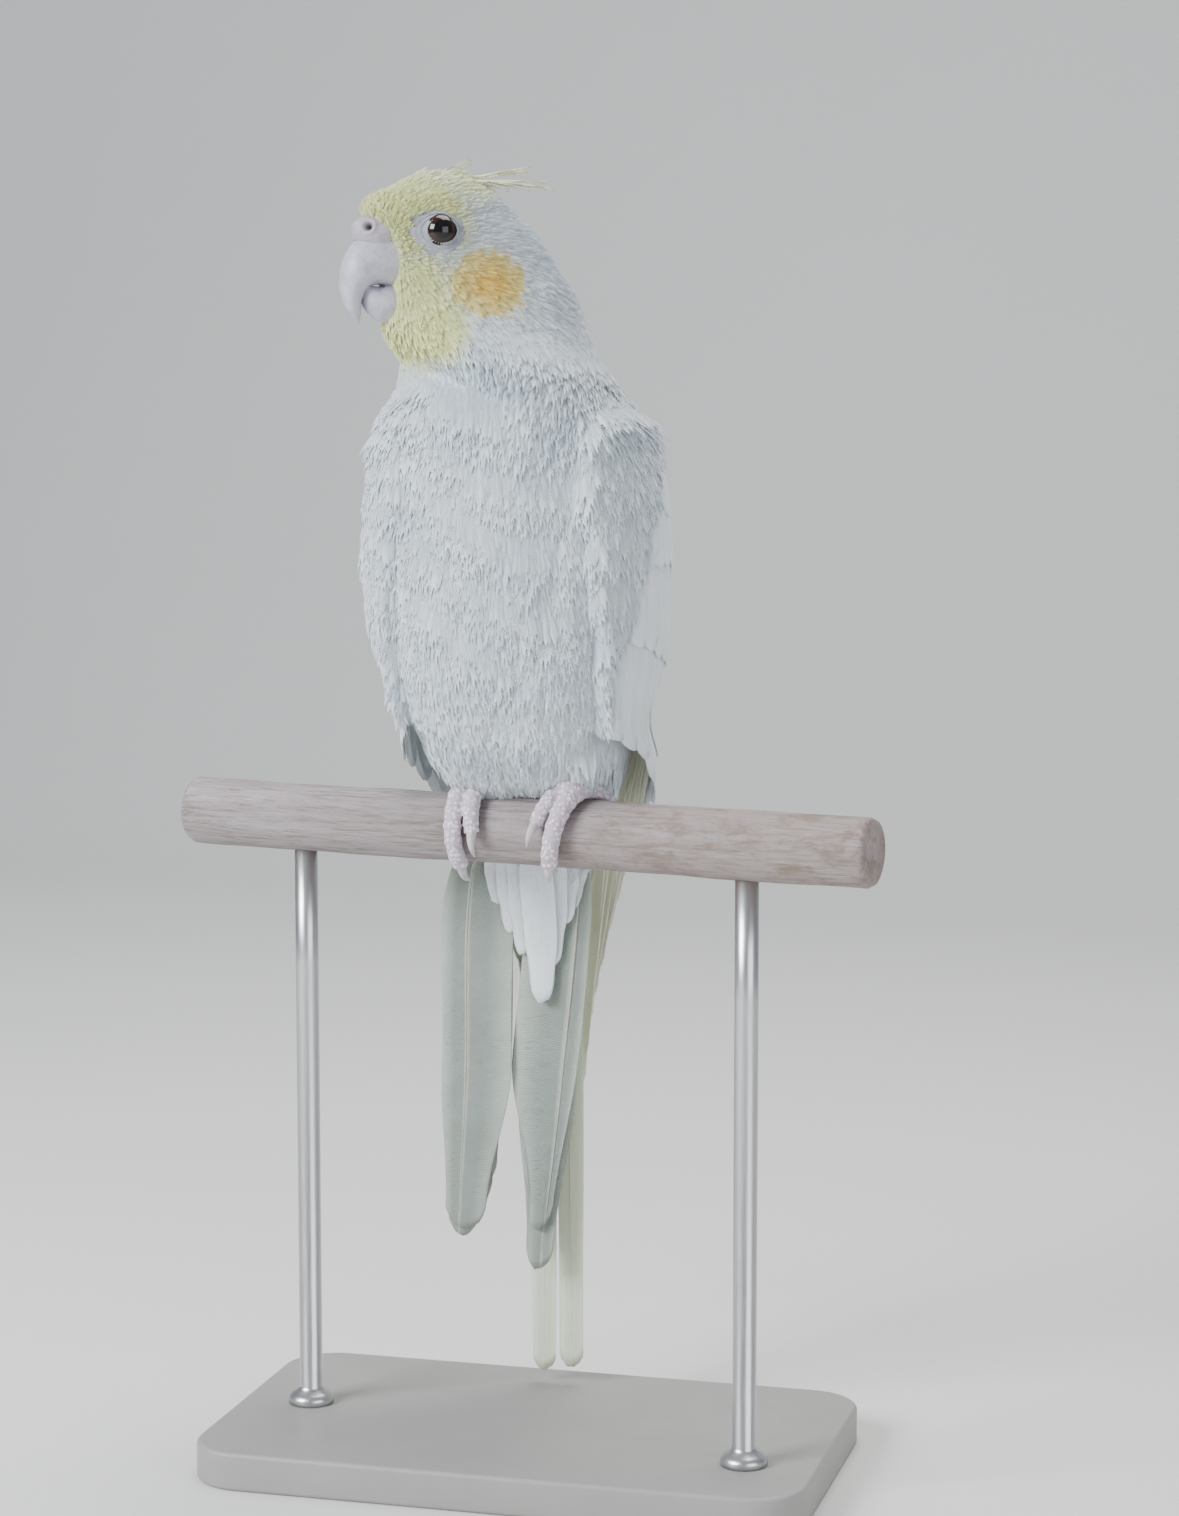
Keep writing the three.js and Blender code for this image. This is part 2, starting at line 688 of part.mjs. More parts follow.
// Tail: its feathers and the ones over their roots, fused to the end of the body
function tail(body) {
  const feathers = TAIL_FEATHERS.map(([rootX, tipX, tipZ, y, slope, half]) =>
    hangingFeather(rootX, tipX, TAIL_FEATHER_ROOT, tipZ, y, slope, half),
  );
  const coverts = TAIL_COVERTS.map(([x, tipZ, y, half]) =>
    hangingFeather(x * 0.7, x, COVERT_ROOT, tipZ, y, COVERT_SLOPE, half),
  );
  return union([keepSide(body, TAIL_CUT_Z - GAP / 2, false), ...feathers, ...coverts]);
}

// Crest: feathers lying back from a pad on the crown
function crest(headGrown) {
  const feathers = CREST_FEATHERS.map(([rootAhead, rootLeft, tipAhead, tipLeft, tipUp, half]) => {
    const root = headPoint(rootAhead, rootLeft, 18.4);
    const tip = headPoint(tipAhead, tipLeft, tipUp);
    const bend = headPoint(mix(rootAhead, tipAhead, 0.4), mix(rootLeft, tipLeft, 0.4), 19.6);
    const curve = new THREE.QuadraticBezierCurve3(root, bend, tip);
    return vane(
      CREST_STEPS.map((t, i) => {
        const middle = curve.getPoint(t);
        const along = curve.getTangent(t);
        const out = along.clone().cross(LEFT).normalize();
        const w = half * CREST_WIDTHS[i];
        const left = middle.clone().addScaledVector(LEFT, -w);
        const right = middle.clone().addScaledVector(LEFT, w);
        return { left, middle, right, out: out.z < 0 ? out.negate() : out };
      }),
    );
  });
  return largest(union([bill(CREST_PAD, CREST_PAD_TIP), ...feathers]).subtract(headGrown));
}

// Stand: base with rounded corners and edge, and two rods with a foot
function standBase() {
  const x = BASE_LENGTH / 2 - BASE_CORNER;
  const y = BASE_DEPTH / 2 - BASE_CORNER;
  const outline = new THREE.Shape();
  outline.absarc(x, y, BASE_CORNER, 0, Math.PI / 2);
  outline.absarc(-x, y, BASE_CORNER, Math.PI / 2, Math.PI);
  outline.absarc(-x, -y, BASE_CORNER, Math.PI, 1.5 * Math.PI);
  outline.absarc(x, -y, BASE_CORNER, 1.5 * Math.PI, 2 * Math.PI);
  const bevel = 1.2;
  return solidOf(
    new THREE.ExtrudeGeometry(outline, {
      depth: BASE_THICKNESS - 2 * bevel,
      curveSegments: 5,
      bevelThickness: bevel,
      bevelSize: bevel,
      bevelOffset: -bevel,
      bevelSegments: 2,
    }),
    moved(0, 0, bevel),
  );
}

function standRod(along, perchGrown) {
  const foot = PERCH_HEIGHT - BASE_THICKNESS - GAP;
  const profile = [
    [0, -foot],
    [6, -foot],
    [6, -foot + 2],
    [5, -foot + 3.4],
    [ROD_RADIUS, -foot + 4],
    [ROD_RADIUS, 0],
    [0, 0],
  ].map(([r, z]) => new THREE.Vector2(r, z));
  const at = perchPoint(along, 0, 0);
  const upright = new THREE.Matrix4().makeRotationX(Math.PI / 2);
  const lathe = solidOf(
    new THREE.LatheGeometry(profile, 18),
    moved(at.x, at.y, 0).multiply(upright),
  );
  return largest(lathe.subtract(perchGrown));
}

// Assembly
const bird = new THREE.Group();
bird.position.set(0, PERCH_SETBACK, PERCH_HEIGHT);
const stand = new THREE.Group();
const part = new THREE.Group();
part.add(bird, stand);

function addNode(group, name, solid, material) {
  const { vertProperties, triVerts, numProp } = largest(solid.simplify(SIMPLIFY)).getMesh();
  const geometry = new THREE.BufferGeometry();
  const points = new Float32Array((vertProperties.length / numProp) * 3);
  for (let i = 0; i < points.length / 3; i++) {
    points.set(vertProperties.subarray(i * numProp, i * numProp + 3), i * 3);
  }
  geometry.setAttribute("position", new THREE.BufferAttribute(points, 3));
  geometry.setIndex(new THREE.BufferAttribute(new Uint32Array(triVerts), 1));
  geometry.computeVertexNormals();
  const mesh = new THREE.Mesh(geometry, MATERIALS[material]);
  mesh.name = name;
  group.add(mesh);
}

const body = bodySolid();
const bodyGrown = bodySolid(GAP);
const perchGrown = perch(GAP);
const feet = Object.entries(FEET);
const feetGrown = union(
  feet.flatMap(([, spec]) => [foot(spec, GAP), ...spec.toes.map((t) => claw(t, GAP))]),
);

const torso = largest(
  keepSide(keepSide(body, TAIL_CUT_Z + GAP / 2, true), NECK_CUT_Z - GAP / 2, false).subtract(
    union([perchGrown, feetGrown, ...feet.map(([, spec]) => thigh(spec, GAP))]),
  ),
);
addNode(bird, "torso", torso, "white_feather");

const headCut = cut(HEAD_CUT_Z, -14);
const aboveTorso = keepSide(body, NECK_CUT_Z + GAP / 2, true).subtract(headCut).decompose();
aboveTorso.sort((a, b) => a.boundingBox().min[2] - b.boundingBox().min[2]);
const [neck, bareHead] = aboveTorso;
addNode(bird, "neck", neck, "white_feather");

const upperBill = bill(UPPER_BILL, UPPER_BILL_TIP);
const upperGrown = bill(UPPER_BILL, UPPER_BILL_TIP, GAP);
const lids = [-1, 1].map((side) => lid(side));
const head = largest(
  bareHead.add(union(lids)).subtract(union([-1, 1].map((side) => eyeball(side, GAP)))),
);
const headGrown = bodyGrown;
addNode(bird, "head", head, "yellow_feather");
addNode(bird, "eye_left", eyeball(1), "eye");
addNode(bird, "eye_right", eyeball(-1), "eye");
addNode(bird, "bill_upper", largest(upperBill.subtract(headGrown)), "bill");
const lowerBill = bill(LOWER_BILL, LOWER_BILL_TIP);
addNode(bird, "bill_lower", largest(lowerBill.subtract(union([headGrown, upperGrown]))), "bill");
addNode(bird, "cere", cere(upperGrown, headGrown), "cere");
addNode(bird, "crest", crest(headGrown), "yellow_feather");

const wingRoom = union([perchGrown, bodyGrown, feetGrown]);
const leftWing = wing(1, WING_TOP_Z.left);
const rightWing = wing(-1, WING_TOP_Z.right);
addNode(bird, "wing_left", largest(leftWing.subtract(wingRoom)), "wing_feather");
addNode(bird, "wing_right", largest(rightWing.subtract(wingRoom)), "wing_feather");
const tailRoom = union([perchGrown, feetGrown]);
addNode(bird, "tail", largest(tail(body).subtract(tailRoom)), "tail_feather");

for (const [side, spec] of feet) {
  const thighSolid = thigh(spec).subtract(union([feetGrown, perchGrown]));
  addNode(bird, `thigh_${side}`, largest(thighSolid), "white_feather");
  const clawsGrown = union(spec.toes.map((t) => claw(t, GAP)));
  addNode(bird, `foot_${side}`, largest(foot(spec).subtract(clawsGrown)), "foot");
  spec.toes.forEach((t, i) => addNode(bird, `claw_${side}_${i + 1}`, claw(t), "claw"));
}

addNode(bird, "perch", perch(), "perch");
addNode(bird, "stand_rod_left", standRod(ROD_SPREAD, perchGrown), "stand_rod");
addNode(bird, "stand_rod_right", standRod(-ROD_SPREAD, perchGrown), "stand_rod");
addNode(stand, "stand_base", standBase(), "stand_base");

export default part;
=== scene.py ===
# %% [markdown]
# # A cockatiel on a round perch
# We dress a imported solid model of a perched cockatiel for its portrait. Everything stays in
# the frame of the solids: metres, +Z up, breast towards -Y, the bird's left side at +X.
# The first cell loads that frame.

# %% Load the frame
import json
import math

import bmesh
import bpy
import numpy as np
from mathutils import Matrix, Vector
from mathutils.bvhtree import BVHTree

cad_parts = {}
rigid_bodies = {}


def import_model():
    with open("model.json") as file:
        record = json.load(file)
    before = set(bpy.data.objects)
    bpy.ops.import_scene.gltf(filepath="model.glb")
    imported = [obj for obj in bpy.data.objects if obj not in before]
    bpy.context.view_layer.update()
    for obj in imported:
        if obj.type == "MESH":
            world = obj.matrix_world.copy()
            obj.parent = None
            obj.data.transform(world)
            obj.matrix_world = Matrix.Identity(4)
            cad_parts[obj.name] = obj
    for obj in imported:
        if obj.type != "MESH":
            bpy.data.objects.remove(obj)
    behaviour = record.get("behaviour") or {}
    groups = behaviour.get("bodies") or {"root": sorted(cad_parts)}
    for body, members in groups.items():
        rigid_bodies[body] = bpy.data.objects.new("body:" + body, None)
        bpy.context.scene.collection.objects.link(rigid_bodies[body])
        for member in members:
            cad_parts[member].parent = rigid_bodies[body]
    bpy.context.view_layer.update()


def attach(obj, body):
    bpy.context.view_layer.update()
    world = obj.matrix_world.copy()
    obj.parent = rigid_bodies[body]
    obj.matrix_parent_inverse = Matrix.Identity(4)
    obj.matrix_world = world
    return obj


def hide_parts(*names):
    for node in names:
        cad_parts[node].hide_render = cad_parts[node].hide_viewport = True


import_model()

MM = 0.001

# %% [markdown]
# The solids were shaped from tables of level slices. We use the same tables here, so that
# skin and feathers fall where the solids are. All of these numbers are millimetres from the
# middle of the perch, and `ORIGIN` is where that middle stands in the frame.

# %% Sizes of the bird
ORIGIN = np.array([0.0, -10.0, 167.0])
PERCH_RADIUS = 8.8
PERCH_LENGTH = 190.0
PERCH_YAW = math.radians(-9.6)
HEAD_TURN = -50.5
HEAD_CENTRE = np.array([-12.3, -14.0, 145.1])
SQUARENESS = 2.2

# height, centre x, centre y, half width, reach forward, reach back, turn in degrees
TRUNK = [
    (-30, -2, 27, 7, 3, 4, 0),
    (-20, -1, 26.5, 10, 5, 5, 0),
    (-10, 0, 25, 13, 8.5, 7.5, 0),
    (0, 0, 21, 17, 12, 12, 0),
    (9, 0, 14, 21.5, 17, 20, 0),
    (18, 0, 8.5, 25.5, 23, 25.5, 0),
    (28, 0, 4.5, 29, 27, 29.5, 0),
    (42, 0, 1.5, 33, 30, 31.5, 0),
    (56, 0, 0, 34.6, 32, 31.5, 0),
    (70, 0, -1, 35.2, 32.5, 31, 0),
    (84, 0, -2.5, 34.8, 31.5, 29.5, 0),
    (96, 0, -4.5, 33.4, 29.5, 27.5, 0),
    (106, -0.4, -6.8, 31, 26.6, 26, -6),
    (116, -2, -7.8, 26.2, 24.4, 25.6, -18),
]
# height, centre ahead of the head's own, half width, forward, back, turn
HEAD_SLICES = [
    (126, -9, 20.4, 28, 25.6, -40),
    (134, -7.2, 17.4, 26.2, 24, -48),
    (142, -5, 15.8, 24.4, 22.2, HEAD_TURN),
    (150, -1, 14.6, 22.8, 20.4, HEAD_TURN),
    (157, 4, 12, 19.4, 16, HEAD_TURN),
    (161.6, 5.4, 8.4, 12, 11.4, HEAD_TURN),
    (164, 6, 4.4, 6.4, 6.2, HEAD_TURN),
]
# surface that the wings lie on, below the body: height, centre y, half width, forward, back
WING_BED_LOW = [
    (-70, 33, 19, 5, 5),
    (-40, 27, 23, 9, 10),
    (-12, 19, 26, 15, 17),
    (8, 12.6, 28.6, 20.6, 23),
    (18, 8.6, 29.6, 24.6, 27.6),
]
WING_BED_JOIN = 28
THIGH = [
    (12.6, -1.6, 4.4),
    (17, -4.4, 6.8),
    (22.5, -6, 8.8),
    (29, -5, 9.4),
    (35, -2, 8),
    (39, 0, 4.5),
]
THIGH_PLACES = {"left": 16.0, "right": -12.6}
SIDES = (("left", 1.0), ("right", -1.0))
EYE = {"ahead": 8.2, "left": 11.0, "up": 4.3, "radius": 4.1}

# %% Frames of head and perch
UP = np.array([0.0, 0.0, 1.0])
turn = math.radians(HEAD_TURN)
AHEAD = np.array([math.sin(turn), -math.cos(turn), 0.0])
LEFT = np.array([math.cos(turn), math.sin(turn), 0.0])
ALONG = np.array([math.cos(PERCH_YAW), math.sin(PERCH_YAW), 0.0])
FRONT = np.array([math.sin(PERCH_YAW), -math.cos(PERCH_YAW), 0.0])


def head_point(ahead, left, up):
    """Points in the bird's millimetres from distances in the head's own frame."""
    ahead, left, up = np.broadcast_arrays(ahead, left, up)
    return (HEAD_CENTRE + ahead[..., None] * AHEAD + left[..., None] * LEFT + up[..., None] * UP)


def head_place(points):
    """Ahead, left and up of points, measured in the head's own frame."""
    off = points - HEAD_CENTRE
    return off @ AHEAD, off @ LEFT, off @ UP


def perch_point(along, angle, reach):
    """Points about the perch: along it, round it from the top to the front, and out."""
    along, angle, reach = np.broadcast_arrays(along, angle, reach)
    return (
        along[..., None] * ALONG
        + (reach * np.sin(angle))[..., None] * FRONT
        + (reach * np.cos(angle))[..., None] * UP
    )


BODY = np.array(
    TRUNK
    + [
        (row[0], *head_point(row[1], 0.0, 0.0)[:2], *row[2:])
        for row in HEAD_SLICES
    ]
)
WING_BED = np.array(
    [(z, 0, y, side, front, back, 0) for z, y, side, front, back in WING_BED_LOW]
    + [(*row[:6], 0) for row in BODY if row[0] >= WING_BED_JOIN]
)
print("body slices", len(BODY), "wing bed slices", len(WING_BED))

# %% [markdown]
# Between the slices we run a smooth curve through every column of the table, and each level
# slice is a slightly boxy oval. One function for both keeps skin, wings and coat in step.


# %% Points on the body
def rows_at(table, heights):
    """Rows of a table at any heights, on a smooth curve through the given ones."""
    z = np.clip(np.asarray(heights, float), table[0, 0], table[-1, 0])
    i = np.clip(np.searchsorted(table[:, 0], z, side="right") - 1, 0, len(table) - 2)
    before = table[np.maximum(i - 1, 0)]
    low = table[i]
    high = table[i + 1]
    after = table[np.minimum(i + 2, len(table) - 1)]
    span = (high[..., 0] - low[..., 0])[..., None]
    t = (z - low[..., 0])[..., None] / span
    slope_low = (high - before) / (high[..., :1] - before[..., :1])
    slope_high = (after - low) / (after[..., :1] - low[..., :1])
    value = low * (1 + 2 * t) * (1 - t) ** 2 + high * t * t * (3 - 2 * t)
    return value + span * (slope_low * t * (1 - t) ** 2 - slope_high * t * t * (1 - t))


def section_point(table, heights, angles, grow=0.0):
    """Points on level slices, at angles round from the breast towards the left side."""
    heights, angles, grow = np.broadcast_arrays(heights, angles, grow)
    row = rows_at(table, heights)
    across, ahead = np.sin(angles), np.cos(angles)
    reach = np.where(ahead > 0, row[..., 4], row[..., 5])
    flat = np.abs(across / row[..., 3]) ** SQUARENESS + np.abs(ahead / reach) ** SQUARENESS
    r = flat ** (-1 / SQUARENESS) + grow
    t = np.radians(row[..., 6])
    x = row[..., 1] + r * (ahead * np.sin(t) + across * np.cos(t))
    y = row[..., 2] + r * (across * np.sin(t) - ahead * np.cos(t))
    return np.stack([x, y, heights], axis=-1)


def smooth_step(low, high, x):
    """0 below low, 1 above high, and a soft ramp between."""
    t = np.clip((np.asarray(x, float) - low) / (high - low), 0, 1)
    return t * t * (3 - 2 * t)


# %% [markdown]
# Every mesh goes through one helper. It takes millimetres about the perch, moves them into the
# frame in metres and leaves the object itself at the origin, unturned and unscaled, so that
# patterns on object coordinates are laid in the frame's own metres.


# %% Making meshes
def add_mesh(name, points, faces, material=None, uvs=None, where=ORIGIN):
    """A mesh object from points in millimetres, faces, and UV maps given per corner."""
    mesh = bpy.data.meshes.new(name)
    mesh.from_pydata(((np.asarray(points) + where) * MM).tolist(), [], faces)
    mesh.shade_smooth()
    for map_name, corners in (uvs or {}).items():
        layer = mesh.uv_layers.new(name=map_name)
        layer.data.foreach_set("uv", np.asarray(corners, np.float32).ravel())
    if material:
        mesh.materials.append(material)
    mesh.validate()
    piece = bpy.data.objects.new(name, mesh)
    bpy.context.scene.collection.objects.link(piece)
    return piece


def grid_faces(rows, columns, closed=False, start=0):
    """Quads over a grid of points, closed round its columns if asked."""
    i, j = np.meshgrid(
        np.arange(rows - 1), np.arange(columns if closed else columns - 1), indexing="ij"
    )
    k = (j + 1) % columns
    quads = np.stack(
        [i * columns + j, i * columns + k, (i + 1) * columns + k, (i + 1) * columns + j], -1
    )
    return (quads.reshape(-1, 4) + start).tolist()


def tube_mesh(rings, end_points):
    """Points and faces of rings of points, closed to a point at each end."""
    rows, columns = rings.shape[:2]
    points = np.vstack([rings.reshape(-1, 3), end_points])
    first, last = rows * columns, rows * columns + 1
    top = (rows - 1) * columns
    faces = grid_faces(rows, columns, closed=True)
    faces += [(first, (j + 1) % columns, j) for j in range(columns)]
    faces += [(last, top + j, top + (j + 1) % columns) for j in range(columns)]
    return points, faces


def face_outwards(piece):
    """Turns every face of a closed piece outwards."""
    work = bmesh.new()
    work.from_mesh(piece.data)
    bmesh.ops.recalc_face_normals(work, faces=work.faces)
    work.to_mesh(piece.data)
    work.free()
    return piece


def path_rings(path, radii, sides, flatten=1.0, over=UP):
    """Rings about a path, round or flattened along the direction called over."""
    along = np.gradient(path, axis=0)
    along /= np.linalg.norm(along, axis=1)[:, None]
    side = np.cross(over, along)
    side /= np.linalg.norm(side, axis=1)[:, None]
    lift = np.cross(along, side)
    angles = np.linspace(0, 2 * np.pi, sides, endpoint=False)
    radii = np.broadcast_to(radii, (len(path), sides) if np.ndim(radii) > 1 else (len(path),))
    radii = radii if radii.ndim == 2 else radii[:, None]
    return (
        path[:, None, :]
        + (radii * np.cos(angles))[..., None] * side[:, None, :]
        + (radii * np.sin(angles) * flatten)[..., None] * lift[:, None, :]
    )


# %% [markdown]
# ## Finishes
# Feathers, horn, skin and wood share three effects, each built once as a node group: barbs
# (the fine slanted lines of a feather), mottle (slow uneven tone) and the plumage colours.
# A group only puts out colours and values. The shader stays in each material.


# %% Node helpers
def new_group(name, inputs, outputs):
    """An empty shader node group with named sockets."""
    group = bpy.data.node_groups.new(name, "ShaderNodeTree")
    for label, kind, value in inputs:
        socket = group.interface.new_socket(name=label, in_out="INPUT", socket_type=kind)
        if value is not None:
            socket.default_value = value
    for label, kind in outputs:
        group.interface.new_socket(name=label, in_out="OUTPUT", socket_type=kind)
    return group, group.nodes.new("NodeGroupInput"), group.nodes.new("NodeGroupOutput")


def plug(tree, value, socket):
    """Links a socket to an input, or sets the input to a plain value."""
    if isinstance(value, bpy.types.NodeSocket):
        tree.links.new(value, socket)
    else:
        socket.default_value = value


def math_node(tree, operation, *values):
    node = tree.nodes.new("ShaderNodeMath")
    node.operation = operation
    for socket, value in zip(node.inputs, values):
        plug(tree, value, socket)
    return node.outputs[0]


def vector_node(tree, operation, *values):
    node = tree.nodes.new("ShaderNodeVectorMath")
    node.operation = operation
    for socket, value in zip(node.inputs, values):
        plug(tree, value, socket)
    return node.outputs[
        "Value" if operation in ("DOT_PRODUCT", "LENGTH", "DISTANCE") else "Vector"
    ]


def mix_colour(tree, factor, a, b, blend="MIX"):
    node = tree.nodes.new("ShaderNodeMix")
    node.data_type = "RGBA"
    node.blend_type = blend
    plug(tree, factor, node.inputs["Factor"])
    plug(tree, a, node.inputs[6])
    plug(tree, b, node.inputs[7])
    return node.outputs[2]


def ramp_value(tree, value, low, high, out_low=0.0, out_high=1.0):
    node = tree.nodes.new("ShaderNodeMapRange")
    node.interpolation_type = "SMOOTHSTEP"
    for socket, given in zip(node.inputs, (value, low, high, out_low, out_high)):
        plug(tree, given, socket)
    return node.outputs[0]


def noise(tree, vector, scale, detail=3.0, roughness=0.55, distortion=0.0):
    node = tree.nodes.new("ShaderNodeTexNoise")
    plug(tree, vector, node.inputs["Vector"])
    for label, value in (
        ("Scale", scale),
        ("Detail", detail),
        ("Roughness", roughness),
        ("Distortion", distortion),
    ):
        plug(tree, value, node.inputs[label])
    return node.outputs["Fac"]


VECTOR, COLOUR, VALUE = "NodeSocketVector", "NodeSocketColor", "NodeSocketFloat"


# %% Barbs: slanted lines either side of the shaft
# The vane map runs across a feather in U, from 0 to 1 with the shaft at a half, and along it
# in V. Slanting V by the distance from the shaft turns straight bands into a herringbone.
barbs, barbs_in, barbs_out = new_group(
    "Barbs",
    [("Vane", VECTOR, None), ("Lines", VALUE, 60.0), ("Slant", VALUE, 0.5)],
    [("Height", VALUE), ("Shaft", VALUE), ("Split", VALUE)],
)
split_vane = barbs.nodes.new("ShaderNodeSeparateXYZ")
barbs.links.new(barbs_in.outputs["Vane"], split_vane.inputs[0])
off_shaft = math_node(barbs, "ABSOLUTE", math_node(barbs, "SUBTRACT", split_vane.outputs[0], 0.5))
slanted = math_node(
    barbs,
    "SUBTRACT",
    split_vane.outputs[1],
    math_node(barbs, "MULTIPLY", off_shaft, barbs_in.outputs["Slant"]),
)
waver = noise(barbs, barbs_in.outputs["Vane"], 7.0, 2.0)
phase = math_node(
    barbs,
    "MULTIPLY",
    math_node(barbs, "ADD", slanted, math_node(barbs, "MULTIPLY", waver, 0.05)),
    barbs_in.outputs["Lines"],
)
lines = math_node(barbs, "ABSOLUTE", math_node(barbs, "SINE", phase))
plug(barbs, lines, barbs_out.inputs["Height"])
plug(barbs, ramp_value(barbs, off_shaft, 0.015, 0.05, 1.0, 0.0), barbs_out.inputs["Shaft"])
combed = barbs.nodes.new("ShaderNodeCombineXYZ")
plug(barbs, math_node(barbs, "MULTIPLY", slanted, 6.0), combed.inputs[0])
plug(barbs, math_node(barbs, "MULTIPLY", off_shaft, 0.6), combed.inputs[1])
clump = noise(barbs, combed.outputs[0], 3.0, 3.0, 0.7)
plug(barbs, ramp_value(barbs, clump, 0.55, 0.75), barbs_out.inputs["Split"])
print("group", barbs.name)

# %% Mottle: slow and fine unevenness in one value
mottle, mottle_in, mottle_out = new_group(
    "Mottle",
    [("Place", VECTOR, None), ("Scale", VALUE, 120.0), ("Grain", VALUE, 1500.0)],
    [("Tone", VALUE), ("Fine", VALUE)],
)
slow = noise(mottle, mottle_in.outputs["Place"], mottle_in.outputs["Scale"], 4.0, 0.6)
fine = noise(mottle, mottle_in.outputs["Place"], mottle_in.outputs["Grain"], 2.0, 0.6)
plug(mottle, slow, mottle_out.inputs["Tone"])
plug(mottle, fine, mottle_out.inputs["Fine"])
print("group", mottle.name)

# %% [markdown]
# A lutino cockatiel is white where a grey one is grey. Yellow stays on forehead, crown, lores
# and throat, and each cheek has a round orange patch. We paint this by measuring each point
# in the head's own frame: soft spheres for the yellow, an oval for each cheek.

# %% Plumage colours
def row_place(point):
    """Millimetres about the perch as metres in the frame."""
    return tuple(float(v) for v in (np.asarray(point) + ORIGIN) * MM)


WHITE_FEATHER = (0.76, 0.84, 0.885, 1)
SHADE_FEATHER = (0.60, 0.70, 0.78, 1)
YELLOW_FEATHER = (0.84, 0.88, 0.28, 1)
PALE_YELLOW = (0.82, 0.84, 0.62, 1)
CHEEK_ORANGE = (0.91, 0.55, 0.07, 1)
CHEEK_EDGE = (0.90, 0.69, 0.15, 1)

plumage, plumage_in, plumage_out = new_group(
    "Plumage", [("Place", VECTOR, None)], [("Colour", COLOUR), ("Tone", VALUE)]
)
wander = plumage.nodes.new("ShaderNodeTexNoise")
wander.inputs["Scale"].default_value = 330.0
wander.inputs["Detail"].default_value = 3.0
plumage.links.new(plumage_in.outputs["Place"], wander.inputs["Vector"])
shift = vector_node(
    plumage,
    "SCALE",
    vector_node(plumage, "SUBTRACT", wander.outputs["Color"], (0.5, 0.5, 0.5)),
)
shift.node.inputs["Scale"].default_value = 0.006
place = vector_node(plumage, "ADD", plumage_in.outputs["Place"], shift)
from_centre = vector_node(plumage, "SUBTRACT", place, row_place(HEAD_CENTRE))
far_ahead = vector_node(plumage, "DOT_PRODUCT", from_centre, tuple(AHEAD))
far_left = vector_node(plumage, "DOT_PRODUCT", from_centre, tuple(LEFT))
far_up = vector_node(plumage, "DOT_PRODUCT", from_centre, (0, 0, 1))


def ball(centre_ahead, centre_up, reach_ahead, reach_up, soft_low, soft_high):
    """Mask that is 1 inside an oval of the head's middle plane and fades outside it."""
    a = math_node(
        plumage,
        "DIVIDE",
        math_node(plumage, "SUBTRACT", far_ahead, centre_ahead * MM),
        reach_ahead * MM,
    )
    u = math_node(
        plumage,
        "DIVIDE",
        math_node(plumage, "SUBTRACT", far_up, centre_up * MM),
        reach_up * MM,
    )
    square = math_node(
        plumage, "ADD", math_node(plumage, "MULTIPLY", a, a), math_node(plumage, "MULTIPLY", u, u)
    )
    return ramp_value(plumage, math_node(plumage, "SQRT", square), soft_low, soft_high, 1.0, 0.0)


forehead = ball(17, 9, 17, 13, 0.6, 1.3)
throat = ball(17, -15, 15, 17, 0.65, 1.12)
crown = ball(0, 20, 19, 9, 0.5, 1.3)
yellow = math_node(
    plumage,
    "MAXIMUM",
    math_node(plumage, "MAXIMUM", forehead, throat),
    math_node(plumage, "MULTIPLY", crown, 0.75),
)
sideways = math_node(plumage, "ABSOLUTE", far_left)
cheek = math_node(
    plumage,
    "MULTIPLY",
    ball(-2.6, -8.4, 9.8, 8.2, 0.86, 1.08),
    ramp_value(plumage, sideways, 0.006, 0.009),
)
cheek_halo = math_node(
    plumage,
    "MULTIPLY",
    ball(-2.0, -8.2, 12.0, 10.2, 0.75, 1.15),
    ramp_value(plumage, sideways, 0.006, 0.010),
)
body_tone = noise(plumage, plumage_in.outputs["Place"], 55.0, 3.0, 0.6)
ground = mix_colour(
    plumage, ramp_value(plumage, body_tone, 0.4, 0.75), WHITE_FEATHER, SHADE_FEATHER
)
ground = mix_colour(plumage, math_node(plumage, "MULTIPLY", yellow, 0.9), ground, YELLOW_FEATHER)
ground = mix_colour(plumage, math_node(plumage, "MULTIPLY", cheek_halo, 0.45), ground, PALE_YELLOW)
ground = mix_colour(plumage, math_node(plumage, "MULTIPLY", cheek, 0.85), ground, CHEEK_EDGE)
core_cheek = math_node(plumage, "MULTIPLY", cheek, ball(-2.8, -8.4, 8.8, 7.2, 0.2, 1.0))
ground = mix_colour(
    plumage, math_node(plumage, "MULTIPLY", core_cheek, 0.85), ground, CHEEK_ORANGE
)
plug(plumage, ground, plumage_out.inputs["Colour"])
plug(plumage, body_tone, plumage_out.inputs["Tone"])
print("group", plumage.name)

# %% [markdown]
# Each finish is one material. The feather finishes add barb lines to a bump, and darken the colour
# between the barbs as painted shade; horn, skin and wood take their unevenness from the mottle
# group.


# %% Starting a material
def new_material(name):
    """A material with its shader, plus object coordinates."""
    material = bpy.data.materials.new(name)
    material.use_nodes = True
    tree = material.node_tree
    shader = tree.nodes["Principled BSDF"]
    place = tree.nodes.new("ShaderNodeTexCoord").outputs["Object"]
    return material, tree, shader, place


def add_group(tree, group, **values):
    node = tree.nodes.new("ShaderNodeGroup")
    node.node_tree = group
    for label, value in values.items():
        plug(tree, value, node.inputs[label])
    return node.outputs


def uv_map(tree, name):
    node = tree.nodes.new("ShaderNodeUVMap")
    node.uv_map = name
    return node.outputs[0]


